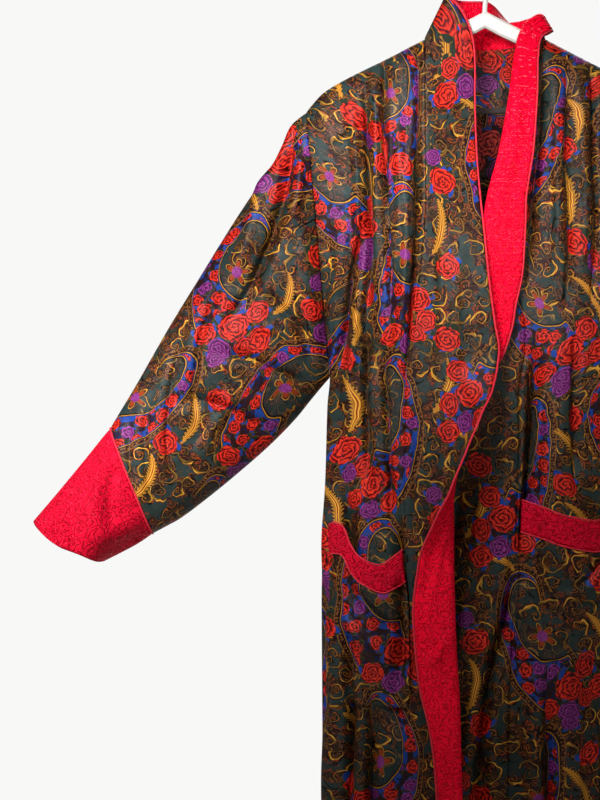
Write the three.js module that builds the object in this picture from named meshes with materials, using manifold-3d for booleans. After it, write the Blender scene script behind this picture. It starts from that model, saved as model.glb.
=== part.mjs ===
// Kimono robe hung on a plain moulded hanger, with its right sleeve held out and the left one to match.
// Millimetres, +Z up. The origin is the inner top of the hanger's hook. The fronts face -Y and the
// wearer's right is at -X. "drop" is the distance below the origin and "reach" the distance from the
// middle, so a point's height is -drop.
import * as THREE from 'three';
import { mergeVertices } from 'three/addons/utils/BufferGeometryUtils.js';
import Module from 'manifold-3d';

// ---- driving sizes ----
const cloth = 1.4; // thickness of every cloth wall
const seamGap = 0.3; // clearance where two pieces are sewn together
const bendEase = 0.25; // further clearance where a faceted seam or layer bends
const hemDrop = 1288;
const neck = { reach: 74, drop: 107, dip: 8 }; // the side neck points, and how far the back neck dips
const tip = { reach: 217, drop: 196 }; // shoulder end of the armhole
const underarm = { reach: 188, drop: 516 };
const sideRound = 2.6; // exponent of the body's oval: 2 is round, more is flatter
const shoulderRound = 80; // drop over which the cloth rounds away from the shoulder line
const armholeOpening = 0.0006; // how fast the armhole opens above the underarm, per mm
const pipingRadius = 1.3;
// The right front laps over the left: each is lifted by "lift" from the reach in "from" to the one in "to".
const lap = { lift: 15, from: { right: 88, left: 40 }, to: 165, startDrop: 190, fullDrop: 350 };
const neckFacingRows = 4; // panel rows that the back neck facing covers
const foldFade = 0.3; // share of a hem fold's length in which it grows in
// The sleeve head stands clear of the body's wall, most where that wall turns side-on.
const sleeveEase = { seam: 0.4, low: 0.84, lowSpan: 110, high: 0.4, highSpan: 30 };
const cuffSeamShare = 0.014; // the cuff starts this share of its first section past the seam
// A pocket runs between two shares of its front's width. "off" is its distance from the front, "slack"
// how far its mouth gapes and "level" the drop at which its columns are measured.
const pocket = {
  from: 0.06,
  to: 0.97,
  depth: 190,
  bandHeight: 37,
  slack: { right: 18, left: 12 },
  off: 2.6,
  level: 740,
};
const hanger = {
  thick: 12,
  height: 20, // of the arms at the middle
  tipShare: 0.6, // of that height left at the tips
  below: 3.6, // distance under the cloth of the shoulders
  reach: 190,
  tipDip: 5, // the tips fall away from the cloth by this much more
  bevel: 2.5,
  hookRadius: 23,
  wireRadius: 3,
  shank: { foot: 84, bend: 66, top: 50, side: 3 }, // drops of the hook's shank, and its step to the side
};

const fabric = {
  print: { color: 0x2f3433, roughness: 0.5, metalness: 0 },
  red: { color: 0xd0102a, roughness: 0.55, metalness: 0 },
  piping: { color: 0xe8404a, roughness: 0.5, metalness: 0 },
  hanger: { color: 0xd9d6cf, roughness: 0.4, metalness: 0 },
};

// Ridge of the shoulders, where the cloth lies over the hanger's arms.
const ridgeRows = [
  { reach: 0, drop: 69 },
  { reach: 74, drop: 107 },
  { reach: 120, drop: 131 },
  { reach: 172, drop: 157 },
  { reach: 196, drop: 172 },
  { reach: 210, drop: 187 },
  { reach: 217, drop: 196 },
];

// Oval of the body: half width at the side seams, and how far front and back stand off the middle plane.
const bodyRows = [
  { drop: 107, half: 217, front: 32, back: 42 },
  { drop: 250, half: 212, front: 40, back: 46 },
  { drop: 400, half: 198, front: 46, back: 50 },
  { drop: 516, half: 188, front: 48, back: 53 },
  { drop: 550, half: 191, front: 49, back: 54 },
  { drop: 620, half: 193, front: 50, back: 56 },
  { drop: 790, half: 198, front: 53, back: 61 },
  { drop: 975, half: 197, front: 57, back: 66 },
  { drop: 1288, half: 204, front: 63, back: 74 },
];

// Largest folds. A fold runs from (xTop, from) to (xEnd, to); depth is positive for a ridge.
const frontFolds = [
  { xTop: -146, xEnd: -138, from: 190, to: 520, wide: 34, depth: -6 },
  { xTop: -116, xEnd: -112, from: 230, to: 700, wide: 36, depth: 5 },
  { xTop: -150, xEnd: -168, from: 640, to: 1288, wide: 52, depth: 7 },
  { xTop: -128, xEnd: -134, from: 820, to: 1288, wide: 44, depth: -8 },
  { xTop: 66, xEnd: 60, from: 130, to: 400, wide: 34, depth: -5 },
  { xTop: 96, xEnd: 108, from: 200, to: 900, wide: 60, depth: 6 },
  { xTop: 32, xEnd: -4, from: 640, to: 1100, wide: 44, depth: -12 },
  { xTop: 74, xEnd: 84, from: 760, to: 1288, wide: 60, depth: 9 },
  { xTop: 134, xEnd: 140, from: 420, to: 1288, wide: 46, depth: -8 },
];
const backFolds = [
  { xTop: -120, xEnd: -132, from: 240, to: 1288, wide: 60, depth: -9 },
  { xTop: -66, xEnd: -72, from: 330, to: 1288, wide: 64, depth: 7 },
  { xTop: -14, xEnd: -6, from: 260, to: 1288, wide: 56, depth: -10 },
  { xTop: 50, xEnd: 60, from: 420, to: 1288, wide: 62, depth: 6 },
  { xTop: 112, xEnd: 122, from: 230, to: 1288, wide: 58, depth: -9 },
];

// The front bands, from the side neck point down. x is the seam that joins the band to its front and
// width the cloth across the band. Past "bend" the band turns outward through "turn" degrees on
// "radius", which shows its red facing. "lean" tips it back and "rise" tips it up.
const bandRows = {
  right: [
    { drop: 107, x: -74, width: 60, bend: 26, radius: 8, turn: 0, lean: 6, rise: 64 },
    { drop: 114, x: -74, width: 60, bend: 26, radius: 8, turn: 0, lean: 6, rise: 44 },
    { drop: 130, x: -74, width: 60, bend: 28, radius: 10, turn: 0, lean: 6, rise: 16 },
    { drop: 172, x: -74, width: 61, bend: 30, radius: 20, turn: 0, lean: 15, rise: 2 },
    { drop: 244, x: -74, width: 64, bend: 32, radius: 40, turn: 0, lean: 18, rise: 0 },
    { drop: 313, x: -74.4, width: 68, bend: 36, radius: 50, turn: 0, lean: 14, rise: 0 },
    { drop: 360, x: -78.5, width: 74, bend: 40, radius: 55, turn: 0, lean: 4, rise: 0 },
    { drop: 400, x: -83, width: 82, bend: 42, radius: 60, turn: 0, lean: 0, rise: 0 },
    { drop: 450, x: -88.5, width: 94, bend: 44, radius: 60, turn: 0, lean: 0, rise: 0 },
    { drop: 490, x: -93.5, width: 104, bend: 44, radius: 60, turn: 0, lean: 0, rise: 0 },
    { drop: 530, x: -98.6, width: 104, bend: 44, radius: 60, turn: 24, lean: 0, rise: 0 },
    { drop: 560, x: -99.8, width: 104, bend: 44, radius: 42, turn: 65, lean: 0, rise: 0 },
    { drop: 600, x: -100, width: 104, bend: 44, radius: 25, turn: 86, lean: 0, rise: 0 },
    { drop: 648, x: -100.2, width: 104, bend: 40, radius: 16, turn: 98, lean: 0, rise: 0 },
    { drop: 690, x: -100, width: 104, bend: 42, radius: 14, turn: 134, lean: 0, rise: 0 },
    { drop: 736, x: -97.8, width: 104, bend: 45, radius: 9, turn: 170, lean: 0, rise: 0 },
    { drop: 800, x: -91.2, width: 104, bend: 42, radius: 7, turn: 184, lean: 0, rise: 0 },
    { drop: 880, x: -90, width: 104, bend: 45, radius: 7, turn: 186, lean: 0, rise: 0 },
    { drop: 932, x: -98, width: 104, bend: 55, radius: 7, turn: 186, lean: 0, rise: 0 },
    { drop: 974, x: -104, width: 104, bend: 61, radius: 7, turn: 186, lean: 0, rise: 0 },
    { drop: 1130, x: -106, width: 104, bend: 66, radius: 7, turn: 186, lean: 0, rise: 0 },
    { drop: 1288, x: -107, width: 104, bend: 68, radius: 7, turn: 186, lean: 0, rise: 0 },
  ],
  left: [
    { drop: 107, x: 74, width: 60, bend: 26, radius: 5, turn: 176, lean: 6, rise: 64 },
    { drop: 114, x: 69, width: 60, bend: 26, radius: 5, turn: 182, lean: 8, rise: 40 },
    { drop: 130, x: 64, width: 60, bend: 24, radius: 5, turn: 184, lean: 8, rise: 14 },
    { drop: 172, x: 55, width: 62, bend: 21, radius: 5, turn: 186, lean: 8, rise: 0 },
    { drop: 244, x: 40, width: 70, bend: 18.6, radius: 6, turn: 186, lean: 6, rise: 0 },
    { drop: 313, x: 27, width: 82, bend: 21, radius: 7, turn: 186, lean: 4, rise: 0 },
    { drop: 360, x: 25, width: 90, bend: 25, radius: 7, turn: 186, lean: 2, rise: 0 },
    { drop: 400, x: 30, width: 97, bend: 33, radius: 7, turn: 186, lean: 0, rise: 0 },
    { drop: 431, x: 41, width: 101, bend: 44, radius: 7, turn: 186, lean: 0, rise: 0 },
    { drop: 460, x: 46, width: 103, bend: 50, radius: 7, turn: 186, lean: 0, rise: 0 },
    { drop: 490, x: 45, width: 104, bend: 55, radius: 7, turn: 186, lean: 0, rise: 0 },
    { drop: 522, x: 39, width: 104, bend: 62, radius: 8, turn: 180, lean: 0, rise: 0 },
    { drop: 550, x: 38, width: 104, bend: 72, radius: 9, turn: 140, lean: 0, rise: 0 },
    { drop: 595, x: 38, width: 104, bend: 74, radius: 18, turn: 62, lean: 0, rise: 0 },
    { drop: 640, x: 37, width: 104, bend: 70, radius: 40, turn: 18, lean: 0, rise: 0 },
    { drop: 690, x: 36, width: 104, bend: 60, radius: 60, turn: 0, lean: 0, rise: 0 },
    { drop: 736, x: 34, width: 104, bend: 60, radius: 60, turn: 0, lean: 0, rise: 0 },
    { drop: 832, x: 30, width: 104, bend: 60, radius: 60, turn: 0, lean: 0, rise: 0 },
    { drop: 974, x: 25, width: 104, bend: 60, radius: 60, turn: 0, lean: 0, rise: 0 },
    { drop: 1288, x: 24, width: 104, bend: 60, radius: 60, turn: 0, lean: 0, rise: 0 },
  ],
};
// Round the back of the neck the bands stand up, and meet at the middle.
const neckBand = { stations: 5, bend: 26, radius: 12, turn: 0, lean: 8, middleGap: 0.5 };
const leastBend = 14; // the bend's columns keep at least this span where nothing turns
const leastEdge = 6; // cloth left flat between the bend and the free edge

// Sleeve sections from the armhole (left out here) to the cuff seam, then the cuff's own to its end.
const sleeveRows = [
  { topReach: 235, topDrop: 211, lowReach: 198, lowDrop: 527, depth: 35 },
  { topReach: 246, topDrop: 235, lowReach: 212, lowDrop: 544, depth: 37 },
  { topReach: 259, topDrop: 262, lowReach: 229, lowDrop: 565, depth: 39 },
  { topReach: 288, topDrop: 305, lowReach: 258, lowDrop: 595, depth: 41 },
  { topReach: 328, topDrop: 366, lowReach: 294, lowDrop: 627, depth: 42 },
  { topReach: 373, topDrop: 440, lowReach: 334, lowDrop: 660, depth: 41 },
  { topReach: 413, topDrop: 508, lowReach: 370, lowDrop: 687, depth: 38 },
  { topReach: 436, topDrop: 547, lowReach: 388, lowDrop: 697, depth: 36 },
  { topReach: 454, topDrop: 578, lowReach: 403, lowDrop: 705, depth: 35 },
];
const cuffRows = [
  { topReach: 478, topDrop: 608, lowReach: 419, lowDrop: 716, depth: 39 },
  { topReach: 513, topDrop: 650, lowReach: 439, lowDrop: 727, depth: 47 },
  { topReach: 547, topDrop: 690, lowReach: 460, lowDrop: 737, depth: 56 },
];

// Sagging upper edge of each pocket, and the height of its red band.
const mouthRows = {
  right: [
    { reach: 97, drop: 719 },
    { reach: 109, drop: 730 },
    { reach: 125, drop: 741 },
    { reach: 145, drop: 730 },
    { reach: 157, drop: 713 },
    { reach: 170, drop: 696 },
    { reach: 191, drop: 698 },
  ],
  left: [
    { reach: 37, drop: 664 },
    { reach: 60, drop: 671 },
    { reach: 100, drop: 685 },
    { reach: 125, drop: 689 },
    { reach: 150, drop: 676 },
    { reach: 174, drop: 656 },
    { reach: 192, drop: 656 },
  ],
};

// Grid lines shared by the front and back panels.
const yokeShares = [1, 0.988, 0.95, 0.87, 0.77, 0.65, 0.5, 0.35, 0.18]; // shoulder 1, underarm 0
const skirtDrops = [516, 550, 595, 640, 690, 740, 800, 870, 960, 1060, 1170, 1288];
const frontColumns = { count: 10, crowding: 1.3 }; // closer together towards the side seam
const backColumns = { neck: 6, outer: 5, crowding: 0.8 }; // closer together towards the side seams

// ---- small helpers ----
const vec = (x, y, z) => new THREE.Vector3(x, y, z);
const { lerp, clamp, degToRad, smoothstep } = THREE.MathUtils;
const sides = [
  { name: 'right', sign: -1 },
  { name: 'left', sign: 1 },
];

// Smooth value of a table's column at a key, from the slopes between neighbouring rows.
function read(rows, key, at, column) {
  const last = rows.length - 1;
  if (at <= rows[0][key]) return rows[0][column];
  if (at >= rows[last][key]) return rows[last][column];
  let i = 0;
  while (at > rows[i + 1][key]) i += 1;
  const slope = (a, b) => (rows[b][column] - rows[a][column]) / (rows[b][key] - rows[a][key]);
  const here = slope(i, i + 1);
  const before = i > 0 ? slope(i - 1, i) : here;
  const after = i + 1 < last ? slope(i + 1, i + 2) : here;
  const level = (a, b) => (a * b <= 0 ? 0 : (2 * a * b) / (a + b)); // no overshoot at a peak
  const span = rows[i + 1][key] - rows[i][key];
  const t = (at - rows[i][key]) / span;
  const startSlope = level(before, here) * span;
  const endSlope = level(here, after) * span;
  const start = rows[i][column];
  const end = rows[i + 1][column];
  return (
    start * (2 * t ** 3 - 3 * t ** 2 + 1) +
    end * (3 * t ** 2 - 2 * t ** 3) +
    startSlope * (t ** 3 - 2 * t ** 2 + t) +
    endSlope * (t ** 3 - t ** 2)
  );
}

const ridgeDrop = (reach) => read(ridgeRows, 'reach', reach, 'drop');

function edgeReach(drop) {
  if (drop >= underarm.drop) return read(bodyRows, 'drop', drop, 'half');
  const share = (underarm.drop - drop) / (underarm.drop - tip.drop);
  return lerp(underarm.reach, tip.reach, share);
}

// Relief of the folds at a point of the front or back.
function relief(folds, x, drop) {
  let sum = 0;
  for (const fold of folds) {
    const along = (drop - fold.from) / (fold.to - fold.from);
    if (along <= 0) continue;
    const open = fold.to >= hemDrop; // runs out through the hem
    const fade = open ? smoothstep(along, 0, foldFade) : Math.sin(Math.PI * clamp(along, 0, 1));
    const off = (x - lerp(fold.xTop, fold.xEnd, along)) / fold.wide;
    if (Math.abs(off) < 1) sum += fold.depth * fade * Math.cos((off * Math.PI) / 2) ** 2;
  }
  return sum;
}

// Distance of the body's cloth from the middle plane at a point.
function standOff(face, x, drop) {
  const reach = Math.abs(x);
  const above = Math.max(0, underarm.drop - drop);
  const limit = edgeReach(drop) * (1 + armholeOpening * above);
  const across = Math.sqrt(Math.max(0, 1 - (reach / limit) ** sideRound));
  const fall = clamp((drop - ridgeDrop(reach)) / shoulderRound, 0, 1);
  const arch = Math.sqrt(1 - (1 - fall) ** 2);
  const folds = face === 'front' ? frontFolds : backFolds;
  return arch * across * (read(bodyRows, 'drop', drop, face) + relief(folds, x, drop));
}

// The two fronts part towards the middle: the right one forward, the left one back.
function lapLift({ name, sign }, x, drop) {
  const middle = 1 - smoothstep(sign * x, lap.from[name], lap.to);
  return -sign * lap.lift * middle * smoothstep(drop, lap.startDrop, lap.fullDrop);
}

const frontY = (side, x, drop) => -(seamGap / 2 + standOff('front', x, drop) + lapLift(side, x, drop));
const backY = (x, drop) => seamGap / 2 + standOff('back', x, drop);

// ---- building blocks ----
// Closed wall about a grid of mid-surface points. ring joins the last column to the first, square can
// turn a point's normal so that walls meet squarely at a seam, and normals gives them all.
function wall(rows, { ring = false, square = null, normals = null } = {}) {
  const across = rows[0].length;
  const last = rows.length - 1;
  const at = (i, j) => rows[clamp(i, 0, last)][ring ? (j + across) % across : clamp(j, 0, across - 1)];
  const positions = [];
  const corner = (i, j, outer) => ((i * across + (j % across)) * 2 + (outer ? 0 : 1));
  for (let i = 0; i <= last; i += 1) {
    for (let j = 0; j < across; j += 1) {
      const down = at(i + 1, j).clone().sub(at(i - 1, j));
      const over = at(i, j + 1).clone().sub(at(i, j - 1));
      const normal = normals ? normals[i][j] : over.cross(down).normalize();
      if (square) square(normal, i, j);
      for (const half of [1, -1]) {
        const p = rows[i][j].clone().addScaledVector(normal, (half * cloth) / 2);
        positions.push(p.x, p.y, p.z);
      }
    }
  }
  const index = [];
  const quad = (a, b, c, d) => index.push(a, b, c, a, c, d);
  const spans = ring ? across : across - 1;
  for (let i = 0; i < last; i += 1) {
    for (let j = 0; j < spans; j += 1) {
      const [a, b, c, d] = [[i, j], [i, j + 1], [i + 1, j + 1], [i + 1, j]];
      quad(corner(...a, true), corner(...b, true), corner(...c, true), corner(...d, true));
      quad(corner(...a, false), corner(...d, false), corner(...c, false), corner(...b, false));
    }
  }
  for (let j = 0; j < spans; j += 1) {
    const next = j + 1;
    quad(corner(0, j, false), corner(0, next, false), corner(0, next, true), corner(0, j, true));
    quad(corner(last, j, true), corner(last, next, true), corner(last, next, false), corner(last, j, false));
  }
  for (let i = 0; !ring && i < last; i += 1) {
    const end = across - 1;
    quad(corner(i, 0, false), corner(i, 0, true), corner(i + 1, 0, true), corner(i + 1, 0, false));
    quad(corner(i, end, true), corner(i, end, false), corner(i + 1, end, false), corner(i + 1, end, true));
  }
  return solid(positions, index);
}

function solid(positions, index) {
  const geometry = new THREE.BufferGeometry();
  geometry.setAttribute('position', new THREE.Float32BufferAttribute(positions, 3));
  geometry.setIndex(index);
  return geometry;
}

// Round bead of piping along points; closed makes it a ring.
function bead(points, radius, closed = false, around = 5) {
  const count = points.length;
  const positions = [];
  const index = [];
  const first = points[1].clone().sub(points[0]);
  let normal = Math.abs(first.y) > first.length() / 2 ? vec(0, 0, 1) : vec(0, -1, 0);
  points.forEach((point, i) => {
    const before = points[closed ? (i + count - 1) % count : Math.max(0, i - 1)];
    const after = points[closed ? (i + 1) % count : Math.min(count - 1, i + 1)];
    const tangent = after.clone().sub(before).normalize();
    normal = normal.clone().addScaledVector(tangent, -normal.dot(tangent)).normalize();
    const side = tangent.clone().cross(normal);
    for (let k = 0; k < around; k += 1) {
      const turn = (2 * Math.PI * k) / around;
      const p = point.clone();
      p.addScaledVector(normal, radius * Math.cos(turn)).addScaledVector(side, radius * Math.sin(turn));
      positions.push(p.x, p.y, p.z);
    }
  });
  for (let i = 0; i < (closed ? count : count - 1); i += 1) {
    for (let k = 0; k < around; k += 1) {
      const a = i * around + k;
      const b = i * around + ((k + 1) % around);
      const c = ((i + 1) % count) * around + ((k + 1) % around);
      const d = ((i + 1) % count) * around + k;
      index.push(a, b, c, a, c, d);
    }
  }
  for (let k = 1; !closed && k < around - 1; k += 1) {
    const start = (count - 1) * around;
    index.push(0, k + 1, k, start, start + k, start + k + 1);
  }
  return solid(positions, index);
}

// ---- body panels ----
const armholeLean = Math.atan2(tip.reach - underarm.reach, underarm.drop - tip.drop);
const armholeOut = (sign) => vec(sign * Math.cos(armholeLean), 0, -Math.sin(armholeLean));
const rowCount = yokeShares.length + skirtDrops.length;

// Drop of row i: the yoke rows fan from the underarm up to the shoulder, and the skirt rows are level.
function rowDrop(i, topDrop) {
  if (i >= yokeShares.length) return skirtDrops[i - yokeShares.length];
  return underarm.drop - yokeShares[i] * (underarm.drop - topDrop);
}

const rowEdge = (i) => edgeReach(rowDrop(i, tip.drop));

const panelShare = (k) => (k / frontColumns.count) ** frontColumns.crowding;
const bandSeam = (side, drop) => read(bandRows[side.name], 'drop', drop, 'x');

function frontPoint(side, i, share) {
  const x = lerp(side.sign * rowEdge(i), bandSeam(side, rowDrop(i, neck.drop)), share);
  const drop = rowDrop(i, ridgeDrop(lerp(tip.reach, neck.reach, share)));
  return vec(x, frontY(side, x, drop), -drop);
}

function topDrop(reach) {
  if (reach >= neck.reach) return ridgeDrop(reach);
  return neck.drop + neck.dip * (1 - (reach / neck.reach) ** 2);
}

// Columns of the back, with one on each side neck point.
const neckShare = neck.reach / tip.reach;

function backPoint(i, c) {
  const x = c * rowEdge(i);
  const drop = rowDrop(i, topDrop(Math.abs(c) * tip.reach));
  return vec(x, backY(x, drop), -drop);
}

// Squares a panel's edge: in the middle plane at shoulder and side seams.
const level = (normal) => normal.setY(0).normalize();

function frontPanel(side) {
  const rows = [];
  for (let i = 0; i < rowCount; i += 1) {
    const row = [];
    for (let k = 0; k <= frontColumns.count; k += 1) row.push(frontPoint(side, i, panelShare(k)));
    rows.push(row);
  }
  const square = (normal, i, j) => {
    if (i === 0 || (j === 0 && i >= yokeShares.length)) level(normal);
  };
  return wall(rows, { square });
}

// Shares of the back's half width at its columns, from one side seam to the other.
function backColumnShares() {
  const { neck: middle, outer, crowding } = backColumns;
  const outward = [];
  for (let k = 0; k < outer; k += 1) outward.push(lerp(1, neckShare, (k / outer) ** crowding));
  const shares = outward.map((share) => -share);
  for (let k = 0; k <= middle; k += 1) shares.push(lerp(-neckShare, neckShare, k / middle));
  return shares.concat(outward.reverse());
}

const insideNeck = (share) => Math.abs(share) < neckShare - 0.01;

function backPanel() {
  const shares = backColumnShares();
  const rows = [];
  for (let i = 0; i < rowCount; i += 1) rows.push(shares.map((c) => backPoint(i, c)));
  const square = (normal, i, j) => {
    const shoulder = i === 0 && !insideNeck(shares[j]);
    const sideSeam = i >= yokeShares.length && (j === 0 || j === shares.length - 1);
    if (shoulder || sideSeam) level(normal);
  };
  return wall(rows, { square });
}

// Facing inside the back of the neck, made from the back's own points moved in.
function backNeckFacing() {
  const shares = backColumnShares().filter(insideNeck);
  const nudge = 0.02;
  const rows = [];
  for (let i = 0; i <= neckFacingRows; i += 1) {
    rows.push(
      shares.map((share) => {
        const p = backPoint(i, share);
        const over = backPoint(i, share + nudge).sub(backPoint(i, share - nudge));
        const down = backPoint(i + 1, share).sub(p);
        const inward = over.cross(down).normalize();
        if (inward.y > 0) inward.negate();
        const underBand = i === 0 ? 2 * seamGap : 0;
        return p.addScaledVector(inward, cloth + seamGap + bendEase).setZ(p.z - underBand);
      }),
    );
  }
  return wall(rows);
}

// ---- sleeves and cuffs ----
// A ring runs from the top down the front and up the back. Its points start on the armhole's rows and
// even out along the sleeve.
const halfRing = yokeShares.length;

function ringShare(k, evenness) {
  const onArmhole = k < halfRing ? yokeShares[k] : 0;
  const even = (1 + Math.cos((Math.PI * k) / halfRing)) / 2;
  return lerp(onArmhole, even, evenness);
}

function armholeRing(side) {
  const out = armholeOut(side.sign);
  const ring = [];
  for (let n = 0; n < 2 * halfRing; n += 1) {
    const k = n <= halfRing ? n : 2 * halfRing - n;
    const front = n <= halfRing;
    const drop = lerp(underarm.drop, tip.drop, ringShare(k, 0));
    const x = side.sign * edgeReach(drop);
    const onSeam = k === 0 || k === halfRing;
    let y = 0;
    if (!onSeam) y = front ? frontY(side, x, drop) : backY(x, drop);
    const low = 1 - smoothstep(underarm.drop - drop, 0, sleeveEase.lowSpan);
    const high = 1 - smoothstep(drop - tip.drop, 0, sleeveEase.highSpan);
    const clear = sleeveEase.seam + low * sleeveEase.low + high * sleeveEase.high;
    ring.push(vec(x, y, -drop).addScaledVector(out, clear));
  }
  return ring;
}

function ovalRing(side, row, evenness) {
  const top = vec(side.sign * row.topReach, 0, -row.topDrop);
  const low = vec(side.sign * row.lowReach, 0, -row.lowDrop);
  const ring = [];
  for (let n = 0; n < 2 * halfRing; n += 1) {
    const k = n <= halfRing ? n : 2 * halfRing - n;
    const share = ringShare(k, evenness);
    const depth = row.depth * Math.sqrt(Math.max(0, 1 - (2 * share - 1) ** 2));
    ring.push(low.clone().lerp(top, share).setY(n <= halfRing ? -depth : depth));
  }
  return ring;
}

function sleeveRings(side) {
  const evenFrom = 4; // sections until the points are evenly spread
  const rings = [armholeRing(side)];
  sleeveRows.forEach((row, i) => rings.push(ovalRing(side, row, Math.min(1, (i + 1) / evenFrom))));
  return rings;
}

function sleeve(side) {
  const out = armholeOut(side.sign);
  const square = (normal, i) => {
    if (i === 0) normal.addScaledVector(out, -normal.dot(out)).normalize();
  };
  return wall(sleeveRings(side), { ring: true, square });
}

function cuff(side) {
  const seam = sleeveRows[sleeveRows.length - 1];
  const start = {};
  for (const column of Object.keys(seam)) {
    start[column] = lerp(seam[column], cuffRows[0][column], cuffSeamShare);
  }
  return wall([start, ...cuffRows].map((row) => ovalRing(side, row, 1)), { ring: true });
}

// Piping that lies on the sleeve just above the cuff seam.
function cuffPiping(side) {
  const grow = cloth / 2 + pipingRadius + seamGap + bendEase;
  const rings = sleeveRings(side);
  const seam = rings[rings.length - 1];
  const middle = seam.reduce((sum, p) => sum.add(p), vec(0, 0, 0)).divideScalar(seam.length);
  const before = rings[rings.length - 2];
  return bead(
    seam.map((p, n) => {
      const over = seam[(n + 1) % seam.length].clone().sub(seam[(n + seam.length - 1) % seam.length]);
      const normal = over.cross(before[n].clone().sub(p)).normalize();
      if (normal.dot(p.clone().sub(middle)) < 0) normal.negate();
      return p.clone().addScaledVector(normal, grow);
    }),
    pipingRadius,
    true,
  );
}

// ---- front bands ----
// Stations run from the middle of the back neck, round the neck, and down the front to the hem.
function bandStations(side) {
  const rows = bandRows[side.name];
  const first = rows[0];
  const stations = [];
  for (let n = 0; n < neckBand.stations; n += 1) {
    const share = n / neckBand.stations;
    const reach = Math.max(neck.reach * share, neckBand.middleGap);
    const x = side.sign * reach;
    const drop = topDrop(reach);
    const inward = degToRad(lerp(90, 0, share)); // the band faces the middle from all round the neck
    const toSide = (a, b) => lerp(a, b, smoothstep(share, 0, 1));
    const rise = degToRad(toSide(90 - neckBand.lean, first.rise));
    stations.push({
      seam: vec(x, backY(x, drop), -drop),
      across: vec(
        -side.sign * Math.cos(rise) * Math.cos(inward),
        Math.cos(rise) * Math.sin(inward),
        Math.sin(rise),
      ),
      width: first.width,
      bend: toSide(neckBand.bend, first.bend),
      radius: toSide(neckBand.radius, first.radius),
      turn: degToRad(toSide(neckBand.turn, first.turn)),
    });
  }
  for (let i = 0; i < rowCount; i += 1) {
    const drop = rowDrop(i, neck.drop);
    const get = (column) => read(rows, 'drop', drop, column);
    const x = get('x');
    const lean = degToRad(get('lean'));
    const rise = degToRad(get('rise'));
    stations.push({
      seam: vec(x, frontY(side, x, drop), -drop),
      across: vec(
        -side.sign * Math.cos(rise) * Math.cos(lean),
        Math.cos(rise) * Math.sin(lean),
        Math.sin(rise),
      ),
      width: get('width'),
      bend: get('bend'),
      radius: get('radius'),
      turn: degToRad(get('turn')),
    });
  }
  stations.forEach((station, n) => {
    const before = stations[Math.max(0, n - 1)].seam;
    const after = stations[Math.min(stations.length - 1, n + 1)].seam;
    const tangent = after.clone().sub(before).normalize();
    station.out = station.across.clone().cross(tangent).multiplyScalar(side.sign).normalize();
  });
  return stations;
}

// How far a band has turned outward, in all and at a distance from its seam.
const fullTurn = ({ turn, width, bend, radius }) => Math.min(turn, (width - bend) / radius);
const bandAngle = (station, distance) =>
  clamp((distance - station.bend) / station.radius, 0, fullTurn(station));

// Point across a band at a distance from its seam, pushed "off" towards its outer face.
function bandPoint(station, distance, off) {
  const { seam, across, out, bend, radius } = station;
  const flat = Math.min(distance, bend);
  const angle = bandAngle(station, distance);
  const rest = Math.max(0, distance - bend - radius * fullTurn(station));
  const p = seam.clone().addScaledVector(across, flat + radius * Math.sin(angle));
  p.addScaledVector(out, radius * (1 - Math.cos(angle)));
  p.addScaledVector(across, rest * Math.cos(angle)).addScaledVector(out, rest * Math.sin(angle));
  return p.addScaledVector(bandNormal(station, angle), off);
}

const bandNormal = ({ across, out }, angle) =>
  out.clone().multiplyScalar(Math.cos(angle)).addScaledVector(across, -Math.sin(angle));

const facingOff = -(cloth + seamGap + bendEase); // the facing lies behind the band's outer layer

// Distances across a layer of the band: its seam, the bend in two steps, then on to the free edge. The
// facing starts further from the panel's edge, because that edge lies behind the outer layer.
function bandSteps({ bend, width, radius, turn }, off) {
  const start = cloth / 2 + seamGap + bendEase - 0.6 * off;
  const turned = clamp(turn * radius, leastBend, width - bend - leastEdge);
  return [start, bend, bend + turned / 2, bend + turned, (bend + turned + width) / 2, width];
}

function bandLayer(side, off) {
  const stations = bandStations(side);
  const steps = stations.map((station) => bandSteps(station, off));
  const rows = stations.map((station, i) => steps[i].map((d) => bandPoint(station, d, off)));
  const normals = stations.map((station, i) =>
    steps[i].map((d) => bandNormal(station, bandAngle(station, d)).multiplyScalar(side.sign)),
  );
  return wall(rows, { normals });
}

function frontPiping(side) {
  const beyond = pipingRadius + seamGap + 2 * bendEase;
  const edge = bandStations(side).map((s) => bandPoint(s, s.width + beyond, facingOff / 2));
  return bead(edge, pipingRadius);
}

// ---- pockets ----
// A pocket lies on its front: its points are the front's own, moved out. It gapes at the mouth, and
// less and less down to its bottom edge.
function pocketPoint(side, share, drop, extra = 0) {
  const at = (s, d) => {
    const x = lerp(side.sign * edgeReach(d), bandSeam(side, d), s);
    return vec(x, frontY(side, x, d), -d);
  };
  const p = at(share, drop);
  const over = at(share + 0.01, drop).sub(at(share - 0.01, drop));
  const down = at(share, drop + 1).sub(at(share, drop - 1));
  const out = over.cross(down).normalize();
  if (out.y > 0) out.negate();
  const mouth = mouthDrop(side, Math.abs(p.x));
  const hang = clamp((drop - mouth) / (pocketFoot(side) - mouth), 0, 1);
  const middle = Math.sin((Math.PI * (share - pocket.from)) / (pocket.to - pocket.from));
  const gape = pocket.slack[side.name] * Math.max(0, middle) * (1 - hang ** 3);
  return p.addScaledVector(out, pocket.off + gape + extra);
}

const mouthDrop = (side, reach) => read(mouthRows[side.name], 'reach', reach, 'drop');
const pocketFoot = (side) => mouthRows[side.name][0].drop + pocket.depth;

function pocketShares() {
  const least = 0.02; // narrowest column
  const shares = [pocket.from];
  for (let k = 0; k <= frontColumns.count; k += 1) {
    const share = panelShare(k);
    if (share > pocket.from + least && share < pocket.to - least) shares.push(share);
  }
  shares.push(pocket.to);
  return shares;
}

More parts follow.
